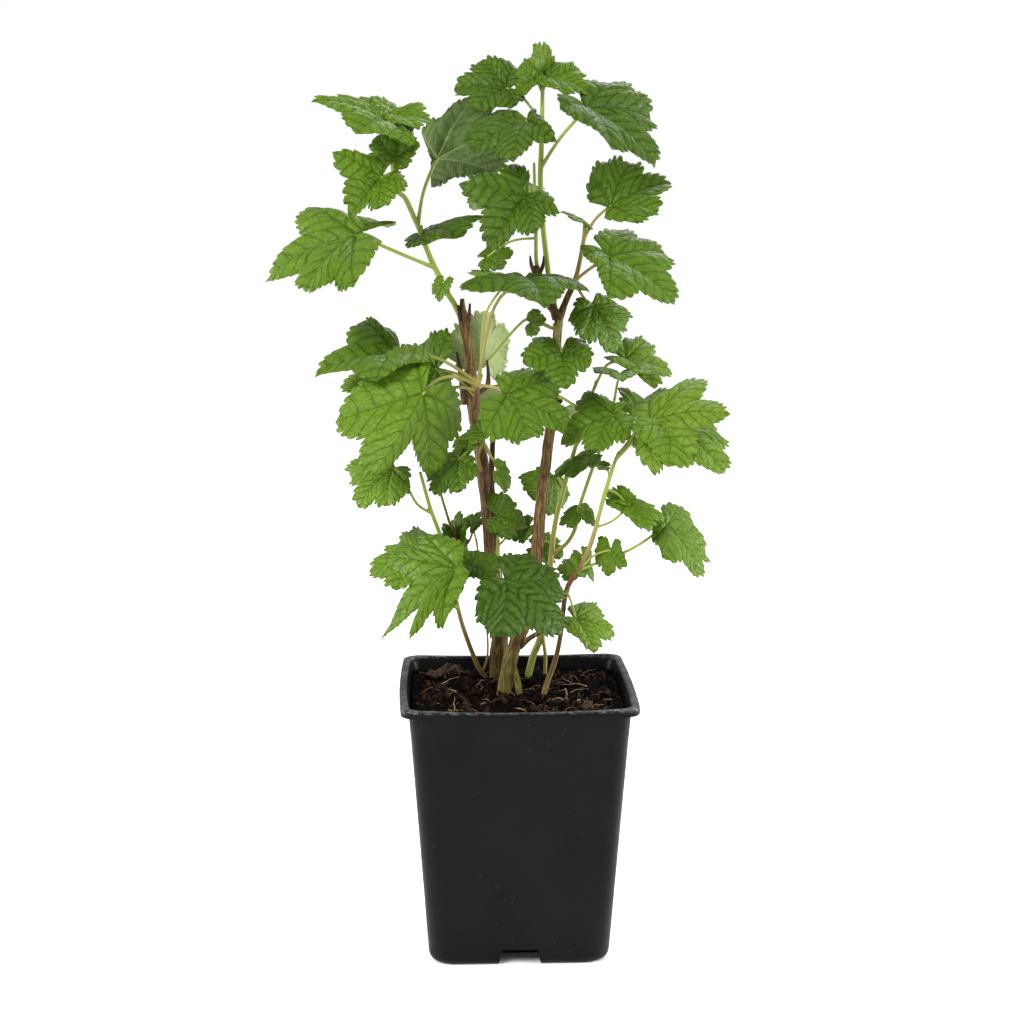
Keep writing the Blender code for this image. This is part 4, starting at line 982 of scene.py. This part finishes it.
# the outline of one tooth: how far along it, and how far out of the plain edge where the depth is 1
TOOTH = ((0.0, -1.0), (0.13, -0.3), (0.36, 0.12), (0.66, 0.02), (0.88, -0.4))
LESSER_TOOTH = 0.62
# a large leaf's teeth are at least this share of its length, and a leaf shorter than this has lower ones
TOOTH_SHARE = 0.055
SMALL_LEAF = 26.0
# they begin this far out from the heart, and fade from this angle to the stalk
TEETH_FROM = 0.86
TEETH_UNTIL = 150.0
BLADE_DOME = 0.07
BLADE_PLEAT = 0.075
BLADE_THICKNESS = 0.35
SIDE_VEIN_STEP = 0.155
SIDE_VEIN_SLANT = 0.8
PUCKER = 0.013
VEIN_GROOVE = 0.025
EDGE_DROOP = 0.05

# how light each leaf is painted, partly its age and partly painted light: from an old leaf, or one painted
# dark as in shade, at 0 to a young one painted as lit from behind at 1
AGE_AND_PAINTED_LIGHT = {
    "leafy_shoot_upper_left": (0.5, 0.05, 0.5, 0.35, 0.52, 0.55, 0.55, 0.5, 0.15),
    "leafy_shoot_top": (0.55, 0.4, 0.4, 0.18, 0.14, 0.1),
    "leafy_shoot_top_slim": (0.16, 0.3, 0.3),
    "leafy_twig_upper_right": (0.36, 0.4, 0.45, 0.42),
    "leafy_spur_left": (0.42, 0.58, 0.45, 0.6, 0.46, 0.2, 1.0, 0.5),
    "leafy_spur_right": (0.34, 0.9, 0.4),
    "leafy_stem_left": (0.5, 0.6, 0.3, 0.5, 0.5, 0.5, 0.5, 0.6),
    "leafy_spur_front": (0.03, 0.3, 0.3),
    "leafy_spur_bud": (0.3, 0.5, 0.5, 0.5),
    "leafy_stem_back": (0.45, 0.5, 0.45, 0.45, 0.5, 0.45, 0.46, 0.6, 0.5, 0.5, 0.45, 0.45),
    "leafy_stem_right": (0.62, 0.55, 0.5, 0.55, 0.55, 0.55, 0.55, 0.7, 0.6, 0.45),
}


def edge_radius(edge, angle):
    """The plain edge of a blade at an angle from its main vein, without teeth."""
    for (start, near), (end, far) in zip(edge, edge[1:]):
        if angle <= end:
            span, past = radians(end - start), radians(angle - start)
            straight = near * far * sin(span) / (near * sin(past) + far * sin(span - past))
            return straight * (1 + LOBE_BULGE * sin(pi * past / span))
    return edge[-1][1]


def toothed_half(edge, size, draw):
    """Angles and radii down half the edge, from the tip to the stalk; teeth point to the lobe tips."""
    points = []
    for (start, near), (end, far) in zip(edge, edge[1:]):
        span = radians(end - start)
        length = (near ** 2 + far ** 2 - 2 * near * far * cos(span)) ** 0.5 * size
        teeth = max(2, round(length / max(TOOTH_WIDTH, size * TOOTH_SHARE)))
        parts = []
        for tooth in range(teeth):
            deep = (1.0 if tooth % 2 == 0 else LESSER_TOOTH) * draw.uniform(0.75, 1.2)
            # the first one is the lobe's own tip
            outline = TOOTH if tooth else ((0.0, 0.0), (0.55, -0.25))
            parts += [((tooth + way) / teeth, out * deep) for way, out in outline]
        parts.append((1.0, -0.8))
        if near < far:
            parts = [(1.0 - place, depth) for place, depth in reversed(parts)]
        for place, depth in parts[:-1]:
            angle = start + (end - start) * place
            fading = min(1.0, (180.0 - angle) / (180.0 - TEETH_UNTIL))
            inward = depth * TOOTH_DEPTH / size * fading * min(1.0, size / SMALL_LEAF)
            points.append((angle, edge_radius(edge, angle), inward))
    points.append((180.0, edge[-1][1], 0.0))
    return points


def on_blade(heart, veins, side, angle, radius):
    """Place on a blade: a mix of the two veins on either side of the angle."""
    fan = (veins[0], veins[1 + side], veins[3 + side], -veins[0] * VEIN_LENGTHS[3])
    for index in range(3):
        start, end = VEIN_ANGLES[index], VEIN_ANGLES[index + 1]
        if angle <= end:
            break
    spread = sin(radians(end - start))
    first = radius * sin(radians(end - angle)) / (VEIN_LENGTHS[index] * spread)
    second = radius * sin(radians(angle - start)) / (VEIN_LENGTHS[index + 1] * spread)
    return heart + fan[index] * first + fan[index + 1] * second


def nearest_vein(angle):
    """The angle of the main vein that serves this part of the blade."""
    return VEIN_ANGLES[sum(angle >= sinus for sinus in SINUSES)]


def from_vein(vein, angle, radius):
    """Distance across from a main vein and along it, where the longest vein is 1 long."""
    past = radians(angle - vein)
    return radius * sin(past), radius * cos(past)


def add_blade(shape, row, age_and_painted_light, edge, draw):
    """Add one blade as a sheet of rings round its heart, its faces looking upward."""
    heart, veins, upward = veins_of(row)
    size = veins[0].length / MM
    age_and_painted_light_layer = shape.verts.layers.float.get("age_and_painted_light") or shape.verts.layers.float.new("age_and_painted_light")
    chart = shape.loops.layers.uv.get("veins") or shape.loops.layers.uv.new("veins")
    # a large leaf has more rings than a small one
    rings = 20 if size > 45 else 14 if size > 28 else 9
    # no two leaves have bays of one depth
    halves = edge if len(edge) == 2 else (edge,)
    halves = [[(angle, radius + draw.uniform(-BAY_SPREAD, BAY_SPREAD) * (angle in SINUSES))
               for angle, radius in half] for half in halves]
    columns = [(0, *point) for point in toothed_half(halves[0], size, draw)]
    columns += [(1, *point) for point in reversed(toothed_half(halves[-1], size, draw)[1:-1])]
    phase = draw.uniform(0, 10)

    def lifted(side, angle, plain, share, inward):
        radius = plain * share + inward * max(0.0, (share - TEETH_FROM) / (1.0 - TEETH_FROM))
        pleat = sin(pi * angle / VEIN_ANGLES[1]) ** 2 if angle < VEIN_ANGLES[2] else 0.0
        lift = (BLADE_DOME * sin(pi * share) + BLADE_PLEAT * pleat * share) * plain
        across, along = from_vein(nearest_vein(angle), angle, radius)
        beside = abs(across)
        bulge = abs(sin(pi * (along - SIDE_VEIN_SLANT * beside) / SIDE_VEIN_STEP)) ** 0.8
        fade_in = min(1.0, beside / 0.05) * (1.0 - 0.5 * share ** 4)
        lift += PUCKER * (bulge * fade_in - 1.1 * exp(-(across / VEIN_GROOVE) ** 2))
        turn = radians(angle)
        wave = sin(turn * 5.0 + phase + side * 2.1) + 0.6 * sin(turn * 11.0 + phase * 2)
        lift += (0.02 * wave - EDGE_DROOP * share) * share ** 3 * min(1.0, plain * 1.5)
        return on_blade(heart, veins, side, angle, radius) + upward * lift * size * MM

    shares = [(ring / rings) ** 0.9 for ring in range(rings + 1)]
    middle = shape.verts.new(lifted(0, 0.0, 0.0, 0.0, 0.0))
    grid = []
    for side, angle, plain, inward in columns:
        grid.append([shape.verts.new(lifted(side, angle, plain, share, inward))
                     for share in shares[1:]])
    for vertex in (middle, *(vertex for line in grid for vertex in line)):
        vertex[age_and_painted_light_layer] = age_and_painted_light
    for index, line in enumerate(grid):
        after = (index + 1) % len(grid)
        other = grid[after]
        _, angle, plain, _ = columns[index]
        _, angle_after, plain_after, _ = columns[after]
        midway = (angle + angle_after) / 2
        vein = nearest_vein(midway)
        for ring in range(rings):
            inner, outer = shares[ring], shares[ring + 1]
            places = [(angle, plain * outer), (angle_after, plain_after * outer)]
            if ring == 0:
                face = shape.faces.new((middle, line[0], other[0]))
                places = [(midway, 0.0), *places]
            else:
                face = shape.faces.new((line[ring - 1], line[ring], other[ring], other[ring - 1]))
                places = [(angle, plain * inner), *places, (angle_after, plain_after * inner)]
            for loop, place in zip(face.loops, places):
                loop[chart].uv = from_vein(vein, *place)


def blade_face(name, dark, middle, light, vein, raised, vein_and_furrow_shade_share, roughness):
    """One face of a currant leaf: its green, its main, side and net veins, and their relief.

    The veins take the colour vein, the side veins and the painted shade in the furrows beside them by the
    given share, and stand out where raised; the blade between them is painted paler, a painted highlight on
    its swellings.
    """
    material, tree, shader, where = new_finish(name, roughness, 1.42, 0.2)
    chart = lay(tree, "ShaderNodeUVMap", uv_map="veins").outputs["UV"]
    place = lay(tree, "ShaderNodeSeparateXYZ", {0: chart})
    across = result_of(tree, place.outputs["X"], 0.0, "ABSOLUTE")
    along = place.outputs["Y"]
    clouds = grain(tree, where, 9.0, 3.0, 0.6)
    wobble = product_of(tree, result_of(tree, clouds, 0.5, "SUBTRACT"), 0.13)
    # main veins, about 1 mm wide at the heart of a 60 mm leaf and thinner towards the lobe tips
    width = sum_of(tree, product_of(tree, along, -0.008), 0.0125)
    main = fade(tree, result_of(tree, across, width, "DIVIDE"), 0.3, 1.0, 1.0, 0.0)
    # side veins leave the main ones forwards, about 9 mm apart on a 60 mm leaf
    slant = result_of(tree, along, product_of(tree, across, SIDE_VEIN_SLANT), "SUBTRACT")
    count = result_of(tree, sum_of(tree, slant, wobble), SIDE_VEIN_STEP, "DIVIDE")
    apart = result_of(tree, count, 0.5, "PINGPONG")
    side = fade(tree, apart, 0.02, 0.08, 1.0, 0.0)
    # the net of small veins, its cells about 4 mm across, with a cushion in each
    bent = lay(tree, "ShaderNodeVectorMath", {0: lay(tree, "ShaderNodeTexNoise",
               {"Vector": where, "Scale": 1000 / 5.0}).outputs["Color"], 1: (0.004,) * 3, 2: where},
               operation="MULTIPLY_ADD")
    net = lay(tree, "ShaderNodeTexVoronoi", {"Vector": bent.outputs[0], "Scale": 1000 / 5.5},
              feature="DISTANCE_TO_EDGE")
    net_line = fade(tree, net.outputs["Distance"], 0.0, 0.09, 1.0, 0.0)
    cushion = fade(tree, net.outputs["Distance"], 0.0, 0.34)
    # each leaf's lightness, partly its age and partly painted light: painted shade on the dark leaves,
    # painted light from behind on the lightest
    age_and_painted_light = lay(tree, "ShaderNodeAttribute", attribute_name="age_and_painted_light").outputs["Fac"]
    patchy_age_and_painted_light = sum_of(tree, age_and_painted_light, product_of(tree, result_of(tree, clouds, 0.5, "SUBTRACT"), 0.35))
    green = ramp(tree, patchy_age_and_painted_light, (0.0, dark), (0.5, middle), (1.0, light))
    fine = grain(tree, where, 0.8, 2.0)
    green = blend_of(tree, fade(tree, fine, 0.35, 0.7, 0.0, 0.2), green, dark)
    # the blade swells between the side veins and in each cell of the net; there it is painted paler, a
    # painted highlight on the swelling
    painted_swell_highlight = fade(tree, apart, 0.03, 0.3, 0.0, 0.12)
    green = blend_of(tree, sum_of(tree, painted_swell_highlight, product_of(tree, cushion, 0.08)), green, light)
    # the side veins are a wide band that on the upper face also darkens the furrow beside them, a painted
    # shade; on the lower face the band is the pale raised vein
    side_vein_and_furrow_shade = fade(tree, apart, 0.0, 0.075, 1.0, 0.0)
    fading = fade(tree, across, 0.2, 0.34, 1.0, 0.35)
    side_vein_and_furrow_shade = product_of(tree, side_vein_and_furrow_shade, fading)
    # the veins of a dark leaf, old or painted in shade, stand out less
    strength = fade(tree, age_and_painted_light, 0.0, 0.4, 0.4, 1.0)
    for line, share in ((side_vein_and_furrow_shade, vein_and_furrow_shade_share), (net_line, vein_and_furrow_shade_share * 0.28), (main, 0.5)):
        share = product_of(tree, strength, share)
        green = blend_of(tree, product_of(tree, line, share), green, vein)
    core = fade(tree, result_of(tree, across, width, "DIVIDE"), 0.0, 0.3, 0.4, 0.0)
    green = blend_of(tree, core, green, light)
    tree.links.new(green, shader.inputs["Base Color"])
    lines = result_of(tree, result_of(tree, main, side, "MAXIMUM"),
                      product_of(tree, net_line, 0.35), "MAXIMUM")
    height = product_of(tree, lines, 1.0 if raised else -1.0)
    swelling = product_of(tree, cushion, 0.65 if not raised else -0.4)
    relief(tree, shader, sum_of(tree, height, sum_of(tree, swelling, clouds)), 0.45)
    shader.inputs["Subsurface Weight"].default_value = 0.18
    shader.inputs["Subsurface Radius"].default_value = (0.45, 1.0, 0.15)
    shader.inputs["Subsurface Scale"].default_value = 0.8 * MM
    return material


leaf_faces = (
    blade_face("currant_leaf_upper", "#213d04", "#4e6c10", "#7c962e", "#1d3c05", False, 0.42, 0.45),
    blade_face("currant_leaf_lower", "#405c1c", "#8c9e60", "#b0bd84", "#c2cc98", True, 0.2, 0.62),
)
for name, rows in LEAVES.items():
    shape = bmesh.new()
    draw = random.Random(name + " leaves")
    for index, (row, age_and_painted_light) in enumerate(zip(rows, AGE_AND_PAINTED_LIGHT[name])):
        add_blade(shape, row, age_and_painted_light, OTHER_EDGES.get((name, index), EDGE), draw)
    blades = piece_of(name + "_blades", shape)
    for finish in leaf_faces:
        blades.data.materials.append(finish)
    body = blades.modifiers.new("Thickness", "SOLIDIFY")
    body.thickness = BLADE_THICKNESS * MM
    body.offset = -1.0
    body.material_offset = 1
    settle(blades)
    blades.data.shade_smooth()
    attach(blades, "root")
    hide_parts(name)


# The studio. A pale seamless floor under a white tent that lights from all round, with a large soft
# box at the upper left of the camera, a weaker one at the right, two low strips for the pot and a
# weak one behind.
FLOOR_RADIUS = 30.0
# how strongly the paper glows, faintly as light onto the plant and brightly where the lens sees it, and
# the painted contact shadow at the pot's foot, from this far off its middle to this far
GLOW_FOR_LIGHT = 0.05
GLOW_FOR_LENS = 0.52
PAINTED_SHADOW_FROM = 0.050
PAINTED_SHADOW_TO = 0.064
bpy.ops.mesh.primitive_circle_add(vertices=96, radius=FLOOR_RADIUS, fill_type="NGON")
floor = bpy.context.active_object
floor.name = "studio_floor"
paper, paper_tree, paper_shader, paper_where = new_finish("pale_paper", 0.9, 1.45)
paper_shader.inputs["Base Color"].default_value = linear("#f2f2f1")
paper_shader.inputs["Emission Color"].default_value = linear("#ffffff")
seen = lay(paper_tree, "ShaderNodeLightPath").outputs["Is Camera Ray"]
# it glows less under the pot and close to its foot: a painted contact shadow, darker where a real sheet
# would lie in shadow
offset = lay(paper_tree, "ShaderNodeVectorMath", {0: paper_where}, operation="ABSOLUTE")
offset = lay(paper_tree, "ShaderNodeSeparateXYZ", {0: offset.outputs["Vector"]}).outputs
away = result_of(paper_tree, offset["X"], offset["Y"], "MAXIMUM")
lens_glow_with_painted_shadow = fade(paper_tree, away, PAINTED_SHADOW_FROM, PAINTED_SHADOW_TO, 0.0, GLOW_FOR_LENS)
glow = lay(paper_tree, "ShaderNodeMapRange", {"Value": seen, "To Min": GLOW_FOR_LIGHT, "To Max": lens_glow_with_painted_shadow})
paper_tree.links.new(glow.outputs["Result"], paper_shader.inputs["Emission Strength"])
floor.data.materials.append(paper)

# the tent is white where the lens sees it, and lights at about half that, so the boxes model the form
TENT_FOR_LIGHT = 0.55
TENT_FOR_LENS = 1.0
world = bpy.data.worlds.new("white_tent")
bpy.context.scene.world = world
world.use_nodes = True
tent = world.node_tree
lens_ray = lay(tent, "ShaderNodeLightPath").outputs["Is Camera Ray"]
brightness = lay(tent, "ShaderNodeMapRange", {"Value": lens_ray, "To Min": TENT_FOR_LIGHT,
                                              "To Max": TENT_FOR_LENS})
tent.links.new(brightness.outputs["Result"], tent.nodes["Background"].inputs["Strength"])
tent.nodes["Background"].inputs["Color"].default_value = linear("#ffffff")
bpy.context.scene.view_settings.view_transform = "Standard"

# each light: its name, its place, the height it aims at over the pot's middle, its width and its watts
LIGHTS = (
    ("soft_box_left", (-1.1, -1.5, 1.7), 0.35, 1.0, 52.0),
    ("soft_box_right", (1.5, -0.9, 1.1), 0.3, 0.9, 18.0),
    ("strip_right", (1.3, 0.25, 0.3), 0.1, 0.5, 15.0),
    ("strip_left", (-1.3, 0.25, 0.3), 0.1, 0.5, 12.0),
    ("soft_box_back", (0.5, 1.6, 1.6), 0.4, 1.0, 14.0),
)
for name, place, aim, width, power in LIGHTS:
    light = bpy.data.lights.new(name, "AREA")
    light.shape = "RECTANGLE"
    light.size = width
    light.size_y = width * 0.8
    light.energy = power
    lamp = bpy.data.objects.new(name, light)
    lamp.location = place
    lamp.rotation_euler = (Vector((0.0, 0.0, aim)) - Vector(place)).to_track_quat("-Z", "Y").to_euler()
    bpy.context.scene.collection.objects.link(lamp)

CAMERA_YAW = radians(2.26)
CAMERA_DOWN = radians(9.82)
FOCAL_LENGTH = 71.6
SENSOR_WIDTH = 36.0
lens = bpy.data.cameras.new("portrait_lens")
lens.lens = FOCAL_LENGTH
lens.sensor_width = SENSOR_WIDTH
camera = bpy.data.objects.new("portrait_camera", lens)
camera.location = EYE * MM
look = Vector((sin(CAMERA_YAW) * cos(CAMERA_DOWN), cos(CAMERA_YAW) * cos(CAMERA_DOWN),
               -sin(CAMERA_DOWN)))
camera.rotation_euler = look.to_track_quat("-Z", "Y").to_euler()
bpy.context.scene.collection.objects.link(camera)
bpy.context.scene.camera = camera
